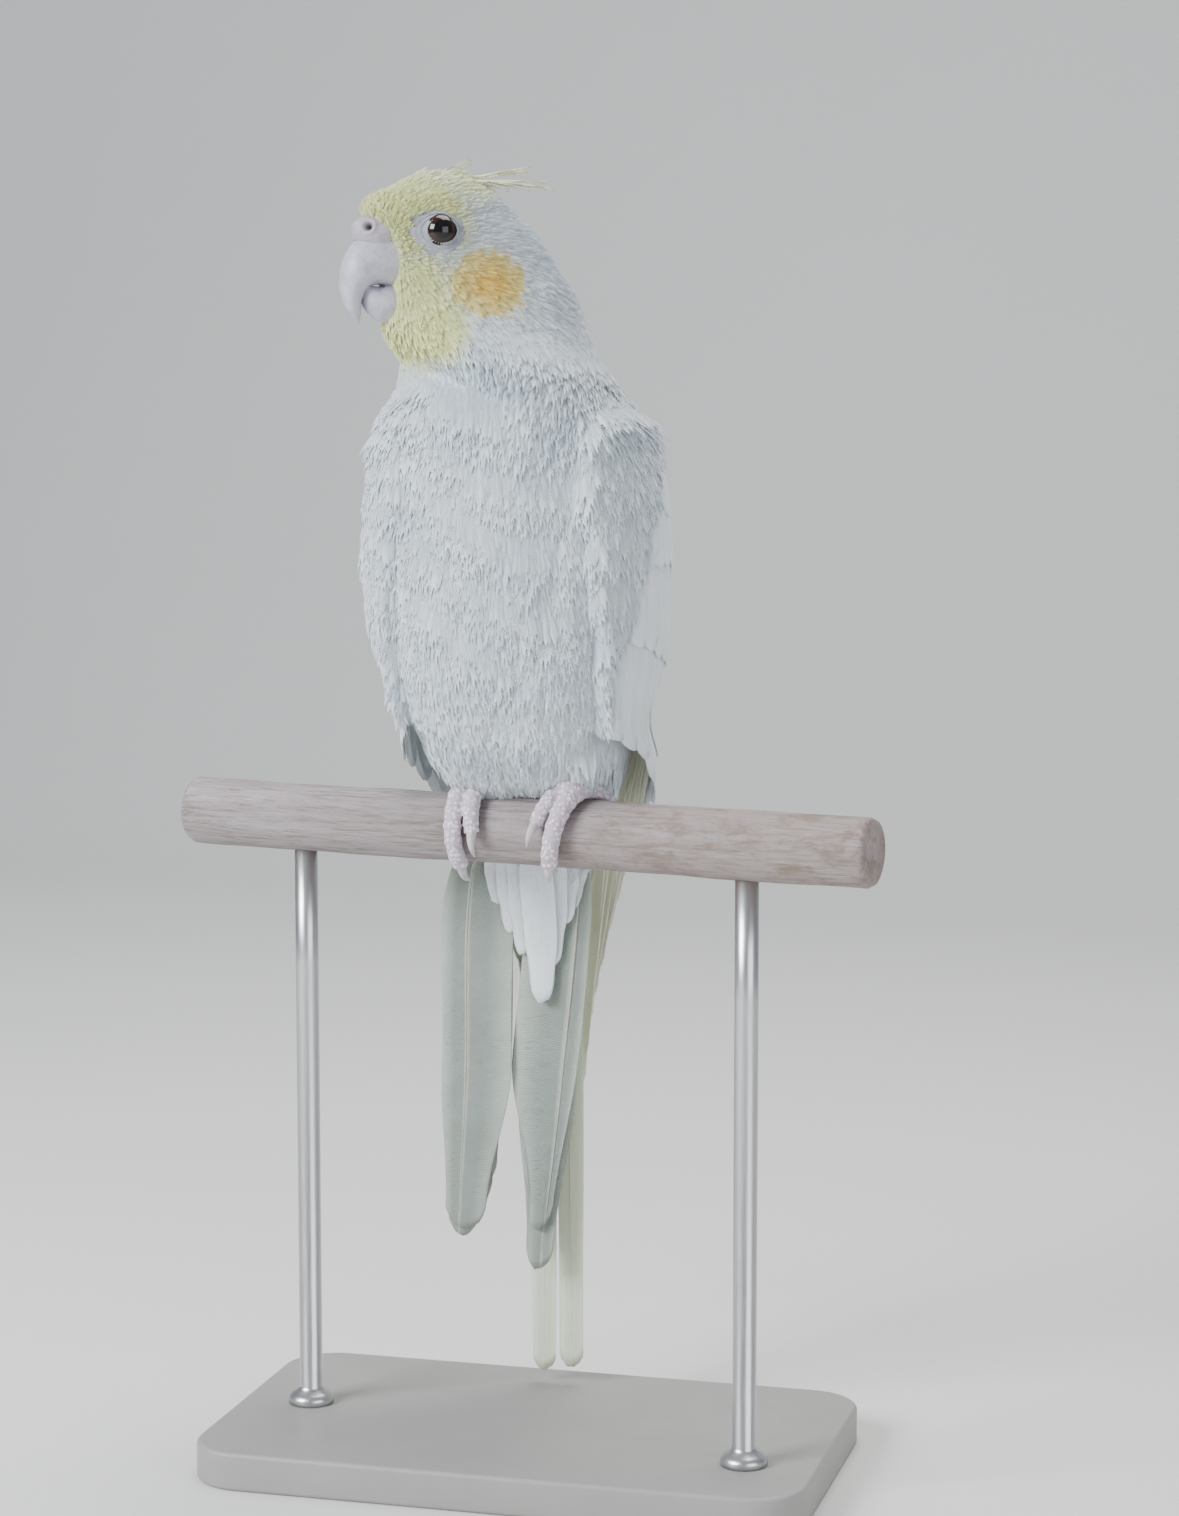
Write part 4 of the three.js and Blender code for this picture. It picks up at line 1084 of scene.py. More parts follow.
# %% Coat tree
def coat_tree():
    """Geometry nodes that cover a mesh with small feathers."""
    tree = bpy.data.node_groups.new("Feather coat", "GeometryNodeTree")
    tree.is_modifier = True
    sockets = {}
    for label, kind, value in (
        ("Geometry", "NodeSocketGeometry", None),
        ("Spacing", VALUE, 0.0016),
        ("Feather scale", VALUE, 1.0),
        ("Lean", VALUE, 0.10),
        ("Scatter", VALUE, 0.25),
        ("Seed", "NodeSocketInt", 1),
        ("Shapes", "NodeSocketCollection", None),
        ("Finish", "NodeSocketMaterial", None),
    ):
        socket = tree.interface.new_socket(name=label, in_out="INPUT", socket_type=kind)
        sockets[label] = socket.identifier
        if value is not None:
            socket.default_value = value
    tree.interface.new_socket(name="Geometry", in_out="OUTPUT", socket_type="NodeSocketGeometry")
    given = tree.nodes.new("NodeGroupInput").outputs

    def node(kind, links=(), **settings):
        made = tree.nodes.new(kind)
        for label, value in settings.items():
            setattr(made, label, value)
        for socket, value in links:
            plug(tree, value, made.inputs[socket])
        return made

    def named(name, kind):
        found = node("GeometryNodeInputNamedAttribute", data_type=kind)
        found.inputs["Name"].default_value = name
        return found.outputs["Attribute"]

    def chance(low, high, offset):
        seed = node("ShaderNodeMath", [(0, given["Seed"]), (1, float(offset))], operation="ADD")
        made = node("FunctionNodeRandomValue", data_type="FLOAT")
        made.inputs[2].default_value = low
        made.inputs[3].default_value = high
        tree.links.new(seed.outputs[0], made.inputs["Seed"])
        return made.outputs[1]

    scatter = node(
        "GeometryNodeDistributePointsOnFaces",
        [
            ("Mesh", given["Geometry"]),
            ("Distance Min", given["Spacing"]),
            ("Density Max", 3.0e7),
            ("Density Factor", named("cover", "FLOAT")),
            ("Seed", given["Seed"]),
        ],
        distribute_method="POISSON",
    )
    place = node("GeometryNodeInputPosition")
    roots = node(
        "GeometryNodeStoreNamedAttribute",
        [("Geometry", scatter.outputs["Points"]), ("Name", "root_at"), ("Value", place.outputs[0])],
        data_type="FLOAT_VECTOR",
        domain="POINT",
    )
    stand_up = node(
        "FunctionNodeAxesToRotation",
        [
            ("Primary Axis", scatter.outputs["Normal"]),
            ("Secondary Axis", named("lie", "FLOAT_VECTOR")),
        ],
        primary_axis="Z",
        secondary_axis="Y",
    )
    spread = node(
        "ShaderNodeMath", [(0, chance(-1, 1, 11)), (1, given["Scatter"])], operation="MULTIPLY"
    )
    leaned = node(
        "ShaderNodeMath", [(0, chance(0.3, 1.7, 23)), (1, given["Lean"])], operation="MULTIPLY"
    )
    rolled = node("ShaderNodeMath", [(0, chance(-1, 1, 37)), (1, 0.08)], operation="MULTIPLY")
    angles = node(
        "ShaderNodeCombineXYZ",
        [(0, leaned.outputs[0]), (1, rolled.outputs[0]), (2, spread.outputs[0])],
    )
    as_turn = node("FunctionNodeEulerToRotation", [(0, angles.outputs[0])])
    turned = node(
        "FunctionNodeRotateRotation",
        [(0, stand_up.outputs[0]), (1, as_turn.outputs[0])],
        rotation_space="LOCAL",
    )
    size = node(
        "ShaderNodeMath",
        [(0, named("feather_length", "FLOAT")), (1, chance(0.8, 1.2, 51))],
        operation="MULTIPLY",
    )
    size = node(
        "ShaderNodeMath", [(0, size.outputs[0]), (1, given["Feather scale"])], operation="MULTIPLY"
    )
    size = node("ShaderNodeMath", [(0, size.outputs[0]), (1, MM)], operation="MULTIPLY")
    shapes = node("GeometryNodeCollectionInfo", transform_space="ORIGINAL")
    tree.links.new(given["Shapes"], shapes.inputs["Collection"])
    shapes.inputs["Separate Children"].default_value = True
    shapes.inputs["Reset Children"].default_value = True
    placed = node(
        "GeometryNodeInstanceOnPoints",
        [
            ("Points", roots.outputs["Geometry"]),
            ("Instance", shapes.outputs[0]),
            ("Pick Instance", True),
            ("Rotation", turned.outputs[0]),
            ("Scale", size.outputs[0]),
        ],
    )
    real = node("GeometryNodeRealizeInstances", [("Geometry", placed.outputs[0])])
    painted = node(
        "GeometryNodeSetMaterial", [("Geometry", real.outputs[0]), ("Material", given["Finish"])]
    )
    tree.links.new(painted.outputs[0], tree.nodes.new("NodeGroupOutput").inputs[0])
    return tree, sockets


feather_coat, coat_sockets = coat_tree()
print("coat tree nodes", len(feather_coat.nodes))

# %% [markdown]
# The coat is laid in separate pieces, each under the size that an export keeps in full. A
# mask over the skin picks each piece's share, and neighbours share the same lie.


# %% Laying the coat
def lay_coat(name, mask, kind, spacing, scale, lean, seed, way=lie, spread=0.13, ground=ground):
    """One piece of coat over the masked part of the skin, or of another ground."""
    ground.data.attributes["cover"].data.foreach_set("value", mask.astype(np.float32))
    ground.data.attributes["lie"].data.foreach_set("vector", way.astype(np.float32).ravel())
    ground.data.update()
    layer = ground.modifiers.new("coat", "NODES")
    layer.node_group = feather_coat
    for label, value in (
        ("Spacing", spacing * MM),
        ("Feather scale", scale),
        ("Lean", lean),
        ("Scatter", spread),
        ("Seed", seed),
        ("Shapes", shelves[kind]),
        ("Finish", body_coat_finish),
    ):
        layer[coat_sockets[label]] = value
    depsgraph = bpy.context.evaluated_depsgraph_get()
    mesh = bpy.data.meshes.new_from_object(ground.evaluated_get(depsgraph))
    ground.modifiers.clear()
    mesh.name = name
    mesh.shade_smooth()
    vertex = corner_vertices(mesh)
    roots = np.empty(len(mesh.vertices) * 3, np.float32)
    mesh.attributes["root_at"].data.foreach_get("vector", roots)
    roots = roots.reshape(-1, 3) / MM - ORIGIN
    vane = np.empty(len(mesh.loops) * 2, np.float32)
    mesh.uv_layers["vane"].data.foreach_get("uv", vane)
    patch = unwrap(roots)[vertex] + (vane.reshape(-1, 2) - 0.5) * TUFT_PATCH
    bake = mesh.uv_layers.new(name="OFBake")
    bake.data.foreach_set("uv", patch.astype(np.float32).ravel())
    for left_over in ("root_at", "lie", "cover", "feather_length"):
        if left_over in mesh.attributes:
            mesh.attributes.remove(mesh.attributes[left_over])
    piece = bpy.data.objects.new(name, mesh)
    bpy.context.scene.collection.objects.link(piece)
    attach(piece, "root")
    print(name, "triangles", len(mesh.polygons))
    return piece


HEAD_LINE, NECK_LINE, BREAST_LINE, BELLY_LINE = 132.0, 106.0, 62.0, 26.0
z_of = skin_points[:, 2]
from_middle = skin_points[:, 1] - rows_at(BODY, z_of)[:, 2]
front_of = from_middle < 0
face_of = ahead_of > 3.0
turn_of = np.degrees(np.abs(np.arctan2(skin_points[:, 0], -from_middle)))
z_of = z_of + 2.6 * np.sin(0.21 * turn_of) + 1.8 * np.sin(0.53 * turn_of + 1)
coat_plan = [
    ("coat_head_left", (z_of >= HEAD_LINE) & (left_of >= 0) & face_of, "narrow", 0.34, 1.05, 0.11),
    ("coat_head_right", (z_of >= HEAD_LINE) & (left_of < 0) & face_of, "narrow", 0.38, 1.1, 0.11),
    (
        "coat_head_back_left",
        (z_of >= HEAD_LINE) & (left_of >= 0) & ~face_of,
        "narrow",
        0.42,
        1.25,
        0.09,
    ),
    (
        "coat_head_back_right",
        (z_of >= HEAD_LINE) & (left_of < 0) & ~face_of,
        "narrow",
        0.46,
        1.25,
        0.09,
    ),
    (
        "coat_neck_front",
        (z_of < HEAD_LINE) & (z_of >= NECK_LINE) & front_of,
        "narrow",
        0.46,
        1.05,
        0.08,
    ),
    (
        "coat_neck_back",
        (z_of < HEAD_LINE) & (z_of >= NECK_LINE) & ~front_of,
        "narrow",
        0.48,
        1.1,
        0.07,
    ),
    (
        "coat_breast",
        (z_of < NECK_LINE) & (z_of >= BREAST_LINE) & front_of,
        "narrow",
        0.58,
        1.15,
        0.06,
    ),
    ("coat_back", (z_of < NECK_LINE) & (z_of >= BELLY_LINE) & ~front_of, "broad", 0.90, 1.2, 0.07),
    (
        "coat_belly",
        (z_of < BREAST_LINE) & (z_of >= BELLY_LINE) & front_of,
        "narrow",
        0.58,
        1.2,
        0.06,
    ),
    (
        "coat_flank",
        (z_of < BELLY_LINE) & (skin_points[:, 2] > -12) & ~((z_of < -8) & front_of),
        "narrow",
        0.60,
        1.0,
        0.09,
    ),
]
total = 0
for number, (name, part, kind, spacing, scale, lean) in enumerate(coat_plan):
    laid = lay_coat(name, cover * part, kind, spacing, scale, lean, 40 + number)
    total += len(laid.data.polygons)
print("coat on the skin", total, "triangles")
bpy.data.objects.remove(ground)

# %% [markdown]
# ## Long feathers
# Wing, tail and crest feathers are too large and too regular for the scattered coat. Each is
# a thin closed vane: a grid of points across and along, set back from its shaft like a
# herringbone, cupped, with a rounded ragged end and a raised shaft. A function that turns
# "along, across, out" into a point is all that differs between wing, tail and crest.

# %% Vane builder
VANE_THICK = 0.16
feather_random = np.random.default_rng(17)


def vane_parts(
    spot,
    half,
    steps,
    lengthwise,
    tip=6.0,
    taper=0.0,
    cup=0.5,
    shaft=0.32,
    web=0.0,
    root=0.55,
    fray=0.5,
):
    """Points, faces and vane map of one feather, from its placing function spot(t, s, h).

    tip is the length of the round end in millimetres, taper how much the vane narrows before
    it, web how far the shaft sits to one side, and fray the raggedness of the end."""
    along_steps, across_steps = steps
    t = np.linspace(0, 1, along_steps)
    s = np.sin(np.linspace(-np.pi / 2, np.pi / 2, across_steps))
    t_grid, s_grid = np.meshgrid(t, s, indexing="ij")
    outline = (
        root + (1 - root) * smooth_step(0, 0.25, t)
    ) * (1 - taper * smooth_step(0.6, 1.0, t))
    rounding = tip / lengthwise * (1 - np.sqrt(1 - (0.985 * s) ** 2))
    frayed = fray / lengthwise * feather_random.uniform(0, 1, across_steps)
    t_mesh = t_grid * (1 - (rounding + frayed) * smooth_step(0.3, 1.0, t)[:, None])
    ripple = 1 + 0.02 * np.sin(t_grid * 11 + feather_random.uniform(0, 6)) * np.abs(s_grid) ** 3
    width = half * outline[:, None] * (s_grid * ripple - web)
    camber = -cup * s_grid**2 * outline[:, None]
    wave = 0.10 * np.sin(t_grid * 9 + feather_random.uniform(0, 6)) * s_grid
    top = spot(t_mesh, width, camber + wave + VANE_THICK / 2)
    under = spot(t_mesh, width * 0.985, camber + wave - VANE_THICK / 2)
    count = along_steps * across_steps
    faces = [tuple(f) for f in grid_faces(along_steps, across_steps)]
    faces += [tuple(reversed(f)) for f in grid_faces(along_steps, across_steps, start=count)]
    border = (
        [(0, j) for j in range(across_steps)]
        + [(i, across_steps - 1) for i in range(1, along_steps)]
        + [(along_steps - 1, j) for j in range(across_steps - 2, -1, -1)]
        + [(i, 0) for i in range(along_steps - 2, 0, -1)]
    )
    rim = [i * across_steps + j for i, j in border]
    for a, b in zip(rim, rim[1:] + rim[:1]):
        faces.append((b, a, a + count, b + count))
    vane_u = np.where(s_grid < web, (s_grid + 1) / (1 + web), 1 + (s_grid - web) / (1 - web))
    vane_u = (0.5 * vane_u).ravel()
    vane_v = (t_grid * lengthwise / 30.0).ravel()
    vane = np.tile(np.stack([vane_u, vane_v], axis=1), (2, 1))
    points = np.vstack([top.reshape(-1, 3), under.reshape(-1, 3)])
    shaft_t = np.linspace(0, 0.95, along_steps)
    shaft_r = shaft * (1 - 0.8 * shaft_t)
    ring = np.linspace(0, 2 * np.pi, 6, endpoint=False)
    tt, rr = np.meshgrid(shaft_t, ring, indexing="ij")
    bar = spot(
        tt, shaft_r[:, None] * np.cos(rr), shaft_r[:, None] * np.sin(rr) * 0.7 + VANE_THICK / 2
    )
    ends = np.stack([bar[0].mean(axis=0), bar[-1].mean(axis=0)])
    bar_points, bar_faces = tube_mesh(bar, ends)
    faces += [tuple(i + len(points) for i in f) for f in bar_faces]
    bar_v = np.concatenate([(tt * lengthwise / 30.0).ravel(), [0.0, lengthwise / 30.0]])
    vane = np.vstack([vane, np.stack([np.full(len(bar_points), 0.5), bar_v], axis=1)])
    return np.vstack([points, bar_points]), faces, vane


def feather_piece(name, feathers, finish, replaced=()):
    """Joins many feathers into one piece, each with its own cell of the bake map."""
    points, faces, vane, bake = [], [], [], []
    start = 0
    cells_across = math.ceil(math.sqrt(len(feathers)))
    for number, (p, f, v) in enumerate(feathers):
        points.append(p)
        faces += [tuple(i + start for i in face) for face in f]
        corner = np.array([i for face in f for i in face])
        vane.append(v[corner])
        cell = np.array([number % cells_across, number // cells_across])
        inside = np.stack([v[:, 0], v[:, 1] / max(v[:, 1].max(), 1e-6)], axis=1)
        bake.append(((cell + 0.04 + 0.92 * inside) / cells_across)[corner])
        start += len(p)
    piece = add_mesh(
        name,
        np.vstack(points),
        faces,
        finish,
        uvs={"vane": np.vstack(vane), "OFBake": np.vstack(bake)},
    )
    face_outwards(piece)
    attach(piece, "root")
    if replaced:
        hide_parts(*replaced)
    print(name, "feathers", len(feathers), "faces", len(faces))
    return piece


# %% [markdown]
# ## Wings
# A folded wing is a stack of tiers, like slates on a roof: primaries deepest, then
# secondaries and the broad inner feathers, then greater, middle and small coverts. Each tier
# runs from the wing's front edge round to its back one.

# %% Wing tiers
# count, root heights, tip heights, root angles, tip angles, half width, lifts, round end, taper
PRIMARY_TIER = (8, (34, 22), (-18, -76), (116, 151), (134, 158), 4.5, (0.5, 1.2), 6.0, 0.22)
WING_TIERS = [
    (9, (62, 50), (25, -7), (57, 128), (62, 141), 5.6, (0.9, 1.7), 6.0, 0.2),
    (4, (64, 58), (16, -4), (100, 150), (112, 157), 6.6, (1.3, 2.2), 7.0, 0.25),
    (10, (84, 76), (51, 34), (54, 138), (58, 146), 5.4, (1.4, 2.2), 5.0, 0.1),
    (11, (96, 88), (72, 57), (53, 140), (56, 146), 4.9, (1.6, 2.3), 4.4, 0.1),
    (10, (103, 97), (86, 73), (56, 132), (58, 140), 4.7, (1.7, 2.3), 4.0, 0.1),
    (8, (106, 102), (96, 87), (62, 120), (62, 128), 4.5, (1.7, 2.2), 3.6, 0.1),
]
WING_LIFT = 1.0
SHOULDER_SINK = {1.0: (1.8, 84), -1.0: (2.6, 56)}
WING_TOPS = {"left": 106.0, "right": 102.0}


def bed_spot(side, root, tip, lifts, bow):
    """Placing function for a feather that lies on the wing's bed."""
    sink, sink_from = SHOULDER_SINK[side]

    def spot(t, across, out):
        z = root[0] + (tip[0] - root[0]) * t
        angle = np.radians(root[1] + (tip[1] - root[1]) * t + bow * np.sin(np.pi * t))
        lift = WING_LIFT + lifts[0] + (lifts[1] - lifts[0]) * t
        lift = lift - sink * smooth_step(sink_from, 104, z)
        a = section_point(WING_BED, z, angle - 0.01, lift)
        b = section_point(WING_BED, z, angle + 0.01, lift)
        reach = np.linalg.norm(b - a, axis=-1) / 0.02
        placed = section_point(WING_BED, z, angle + across / reach, lift + out)
        placed[..., 0] *= side
        return placed

    return spot


def wing_feathers(side, top, tiers, steps=(15, 9), fray=0.7):
    """All feathers of some tiers of one wing."""
    made = []
    for count, root_z, tip_z, root_a, tip_a, half, lifts, end, taper in tiers:
        for i in range(count):
            share = i / (count - 1)
            shake = feather_random.uniform(-1, 1, 4)
            root_height = min(root_z[0] + (root_z[1] - root_z[0]) * share, top)
            root = (root_height, root_a[0] + (root_a[1] - root_a[0]) * share + shake[0])
            tip = (
                tip_z[0] + (tip_z[1] - tip_z[0]) * share + 1.3 * shake[1],
                tip_a[0] + (tip_a[1] - tip_a[0]) * share + 1.2 * shake[2],
            )
            lift = (lifts[0] + 0.1 * (i % 2), lifts[1] + 0.16 * (i % 3))
            spot = bed_spot(side, root, tip, lift, 1.5 * shake[3])
            long = abs(root[0] - tip[0])
            wide = half * (1 + 0.06 * shake[3])
            made.append(
                vane_parts(spot, wide, steps, long, end, taper, cup=0.45, shaft=0.24, fray=fray)
            )
    return made


for side_name, side in SIDES:
    feathers = wing_feathers(side, WING_TOPS[side_name], WING_TIERS)
    feather_piece(
        f"wing_coverts_{side_name}", feathers, wing_finish, [f"wing_{side_name}"]
    )
    primaries = wing_feathers(side, WING_TOPS[side_name], [PRIMARY_TIER], (26, 9))
    feather_piece(f"wing_primaries_{side_name}", primaries, primary_finish)

# %% [markdown]
# Feathers of the breast and the mantle overlap the wing's front edge and its shoulder, so no
# plate ends bare. They grow on a sheet that rises out of the skin and follows the wing: rays
# from outside find the wing's surface, and the sheet is smoothed a little above it.


# %% Coat over the wing's edge
# height and the last angle that the sheet reaches
FLAP_EDGE = [
    (34, 57), (46, 55), (58, 58), (70, 65), (84, 72), (96, 84), (104, 104), (110, 128), (116, 140)
]
FLAP_WING = ([30, 50, 70, 85, 96, 104, 110], [55, 50, 51, 55, 60, 67, 76])
FLAP_START = 24.0
FLAP_FULL = 12.0
FLAP_UNDER = -2.6
FLAP_CLEAR = 0.25
RAY_FROM, RAY_TO = 14.0, -3.0
flap_rows, flap_columns = 84, 60


def widened(values, across, along):
    """The highest of the neighbours of each grid value."""
    best = values.copy()
    for i in range(-across, across + 1):
        for j in range(-along, along + 1):
            shifted = np.roll(np.roll(values, i, axis=0), j, axis=1)
            best = np.maximum(best, shifted)
    return best


def softened(values, times):
    """Blurs a grid, keeping its border rows."""
    for _ in range(times):
        padded = np.pad(values, 1, mode="edge")
        values = (
            padded[
                1:-1, 1:-1
            ] * 2 + padded[:-2, 1:-1] + padded[2:, 1:-1] + padded[1:-1, :-2] + padded[1:-1, 2:]
        ) / 6
    return values


for number, (side_name, side) in enumerate(SIDES):
    wing = bpy.data.objects[f"wing_coverts_{side_name}"]
    wing_tree = BVHTree.FromPolygons(
        [v.co for v in wing.data.vertices], [tuple(f.vertices) for f in wing.data.polygons]
    )
    flap_z = np.linspace(FLAP_EDGE[0][0], FLAP_EDGE[-1][0], flap_rows)[:, None]
    last = np.interp(flap_z, *np.array(FLAP_EDGE, float).T)
    first = np.interp(flap_z, *FLAP_WING) - FLAP_START
    flap_angle = first + (last - first) * np.linspace(0, 1, flap_columns)
    far, near = (
        section_point(BODY, flap_z, np.radians(flap_angle), reach) for reach in (RAY_FROM, RAY_TO)
    )
    lift_found = np.full((flap_rows, flap_columns), -0.6)
    for i in range(flap_rows):
        for j in range(flap_columns):
            start, end = far[i, j].copy(), near[i, j].copy()
            start[0] *= side
            end[0] *= side
            start, end = (start + ORIGIN) * MM, (end + ORIGIN) * MM
            length = float(np.linalg.norm(end - start))
            hit, _, _, distance = wing_tree.ray_cast(
                Vector(start), Vector((end - start) / length), length
            )
            if hit is not None:
                lift_found[i, j] = RAY_FROM + (RAY_TO - RAY_FROM) * distance / length + FLAP_CLEAR
    follow = softened(widened(lift_found, 2, 2), 5)
    print("sheet over wing", side_name, "lift", follow.min().round(2), follow.max().round(2))
    rise = smooth_step(0, FLAP_FULL, flap_angle - first) * smooth_step(117, 106, flap_z)
    flap = section_point(
        BODY, flap_z, np.radians(flap_angle), FLAP_UNDER + (follow - FLAP_UNDER) * rise
    )
    flap[..., 0] *= side
    flap_faces = grid_faces(flap_rows, flap_columns)
    if side < 0:
        flap_faces = [tuple(reversed(face)) for face in flap_faces]
    flap_ground = add_mesh(f"flap_ground_{side_name}", flap.reshape(-1, 3), flap_faces)
    flap_normals = mesh_normals(flap_ground.data)
    flap_lie = np.array([0.0, 0.1, -1.0]) + 0.14 * side * np.cross(UP, flap_normals)
    flap_lie -= np.sum(flap_lie * flap_normals, axis=1)[:, None] * flap_normals
    everywhere = np.ones(len(flap_normals))
    store(flap_ground.data, "lie", "FLOAT_VECTOR", flap_lie)
    store(flap_ground.data, "feather_length", "FLOAT", 7.6 * everywhere)
    store(flap_ground.data, "cover", "FLOAT", everywhere)
    lay_coat(
        f"coat_over_wing_{side_name}",
        everywhere,
        "narrow",
        0.58,
        1.15,
        0.06,
        60 + number,
        flap_lie,
        0.12,
        flap_ground,
    )
    bpy.data.objects.remove(flap_ground)
for shelf in shelves.values():
    for shape in list(shelf.objects):
        bpy.data.objects.remove(shape)
    bpy.data.collections.remove(shelf)

# %% [markdown]
# ## Tail
# Twelve long feathers hang in two bundles, outer ones in front and shorter, with the long
# middle pair behind. Smaller soft feathers cover their roots from below.

# %% Tail feathers
# x of the shaft at root, below the perch, middle and tip; height of the tip, y of the root,
# slope back, half width, taper, and how far the shaft sits to one side
TAIL_FEATHERS = [
    (-12, -20.6, -23.2, -25.8, -112.5, 24.8, 0.035, 9.8, 0.42, -0.30),
    (-12, -20.8, -23.6, -26.2, -114.5, 26.0, 0.038, 9.2, 0.50, -0.26),
    (-11, -19.6, -22.6, -24.6, -111.0, 27.2, 0.041, 8.2, 0.42, -0.2),
    (-11, -19.0, -21.6, -23.2, -107.0, 28.4, 0.044, 7.8, 0.42, -0.2),
    (-10, -18.4, -20.6, -22.0, -102.0, 29.6, 0.047, 7.4, 0.42, -0.2),
    (6, 8.6, 2.9, -2.6, -112.0, 24.4, 0.058, 9.0, 0.62, 0.57),
    (5, 4.6, -0.4, -4.2, -123.5, 25.8, 0.061, 7.8, 0.50, 0.2),
    (5, 5.0, 0.0, -4.0, -116.0, 27.0, 0.064, 7.8, 0.60, 0.25),
    (4, 4.0, -0.8, -4.4, -119.0, 28.2, 0.067, 7.4, 0.56, 0.2),
    (3, 3.4, -1.2, -5.2, -115.0, 29.4, 0.070, 7.0, 0.60, 0.2),
    (-2, -3.4, -5.0, -6.2, -154.0, 30.6, 0.083, 3.7, 0.14, 0.0),
    (2, 3.2, 2.4, 1.4, -152.8, 31.0, 0.083, 3.7, 0.14, 0.0),
]
TAIL_STATIONS = (0.0, 0.15, 0.64, 1.0)
TAIL_ROOT_Z = 2.0
LONG_TAIL_Z = -140.0
# x of root and tip, height of the tip, y at root and tip, half width
TAIL_COVERTS = [
    (-11, -14, -24, 15.5, 25.6, 3.8),
    (9, 7, -24, 15.5, 25.2, 3.6),
    (-8, -10, -31, 15.0, 25.2, 4.0),
    (6, 5.2, -28, 14.6, 24.6, 3.8),
    (-5, -6.5, -37, 14.2, 25.0, 4.0),
    (3.4, 1.2, -40, 14.0, 25.0, 4.2),
    (-1.0, -1.4, -49.5, 12.7, 24.8, 4.6),
]


def hanging_spot(root_x, tip_x, root_z, tip_z, y_at, parting):
    """Placing function for a feather that hangs down and faces the breast."""

    def spot(t, across, out):
        t, across, out = np.broadcast_arrays(t, across, out)
        x = root_x + (tip_x - root_x) * (1 - (1 - t) ** parting)
        z = root_z + (tip_z - root_z) * t
        return np.stack([x + across, y_at(t) - out, z], axis=-1)

    return spot


outer, long_pair = [], []
for *shaft_x, tip_z, y, slope, half, taper, web in TAIL_FEATHERS:
    drop = TAIL_ROOT_Z - tip_z
    path = np.column_stack([TAIL_STATIONS, shaft_x]).astype(float)

    def tail_spot(t, across, out, path=path, y=y, slope=slope, drop=drop):
        t, across, out = np.broadcast_arrays(t, across, out)
        x = rows_at(path, t)[..., 1]
        return np.stack([x + across, y + slope * drop * t - out, TAIL_ROOT_Z - drop * t], axis=-1)

    is_long = tip_z < LONG_TAIL_Z
    end = 4.2 if is_long else 8.0
    parts = vane_parts(
        tail_spot, half, (48, 13), drop, end, taper, cup=0.35, shaft=0.42, web=web, fray=0.8
    )
    (long_pair if is_long else outer).append(parts)
feather_piece("tail_outer", outer, tail_finish, ["tail"])
feather_piece("tail_long", long_pair, long_tail_finish)
covert_vanes = []
for x, tip_x, tip_z, y_root, y_tip, half in TAIL_COVERTS:
    spot = hanging_spot(
        x, tip_x, -4.0, tip_z, lambda t, a=y_root, b=y_tip: b - (b - a) * (1 - t) ** 2.2, 1.6
    )
    covert_vanes.append(
        vane_parts(spot, half, (22, 11), -tip_z, 9.0, 0.25, cup=0.7, shaft=0.2, fray=1.0)
    )
feather_piece("tail_coverts", covert_vanes, wing_finish)

# %% [markdown]
# ## Crest
# At rest the crest lies back over the crown in thin, slightly upturned feathers. Each of the
# eleven leading ones has two finer companions, drawn at random beside it.

# %% Crest feathers
# root ahead and left, tip ahead, left and up, half width
CREST_FEATHERS = [
    (14, 0, -5, 0.6, 22.2, 0.8),
    (9, 1.2, -20, 2.2, 20.6, 0.8),
    (8, -1.2, -22, -1.4, 20.0, 0.8),
    (5, 0, -26, 0.4, 16.8, 0.8),
    (3, 2.6, -22, 3.6, 15.2, 0.8),
    (2, -2.6, -23, -3.2, 15.6, 0.8),
    (6, 3.2, -14, 4.6, 15.4, 0.8),
    (6, -3.2, -15, -4.4, 15.8, 0.8),
    (0, 1, -27, 1.6, 15.0, 0.8),
    (12, 2.2, -8, 3.4, 17.8, 0.8),
    (12, -2.2, -9, -3.2, 18.0, 0.8),
]


def bent_spot(root, bend, tip, side):
    """Placing function along a bent line, its width along the direction called side."""

    def spot(t, across, out):
        t, across, out = np.broadcast_arrays(t, across, out)
        u = t[..., None]
        line = (1 - u) ** 2 * root + 2 * u * (1 - u) * bend + u**2 * tip
        along = 2 * (1 - u) * (bend - root) + 2 * u * (tip - bend)
        way = np.cross(side, along)
        way /= np.linalg.norm(way, axis=-1)[..., None]
        way *= np.where(way[..., 2:] < 0, -1.0, 1.0)
        return line + across[..., None] * side + out[..., None] * way

    return spot


crest_vanes = []
for root_a, root_l, tip_a, tip_l, tip_u, half in CREST_FEATHERS:
    for copy in range(3):
        shake = feather_random.uniform(-1, 1, 5) * (copy > 0)
        a_root, l_root = root_a + 1.5 * shake[0], root_l + 0.8 * shake[1]
        a_tip = tip_a + 3.0 * abs(shake[2])
        l_tip, u_tip = tip_l + 1.1 * shake[3], tip_u + 0.8 * shake[4] - 0.3 * copy
        spot = bent_spot(
            head_point(a_root, l_root, 16.0 - 0.12 * abs(a_root - 6)),
            head_point(a_root + 0.5 * (a_tip - a_root), 0.5 * (l_root + l_tip), 17.9),
            head_point(a_tip, l_tip, u_tip),
            LEFT,
        )
        wide = half * (1 - 0.18 * copy)
        parts = vane_parts(
            spot, wide, (20, 5), a_root - a_tip, 5.0, 0.8, cup=0.25, shaft=0.14, root=0.8, fray=2.0
        )
        crest_vanes.append(parts)
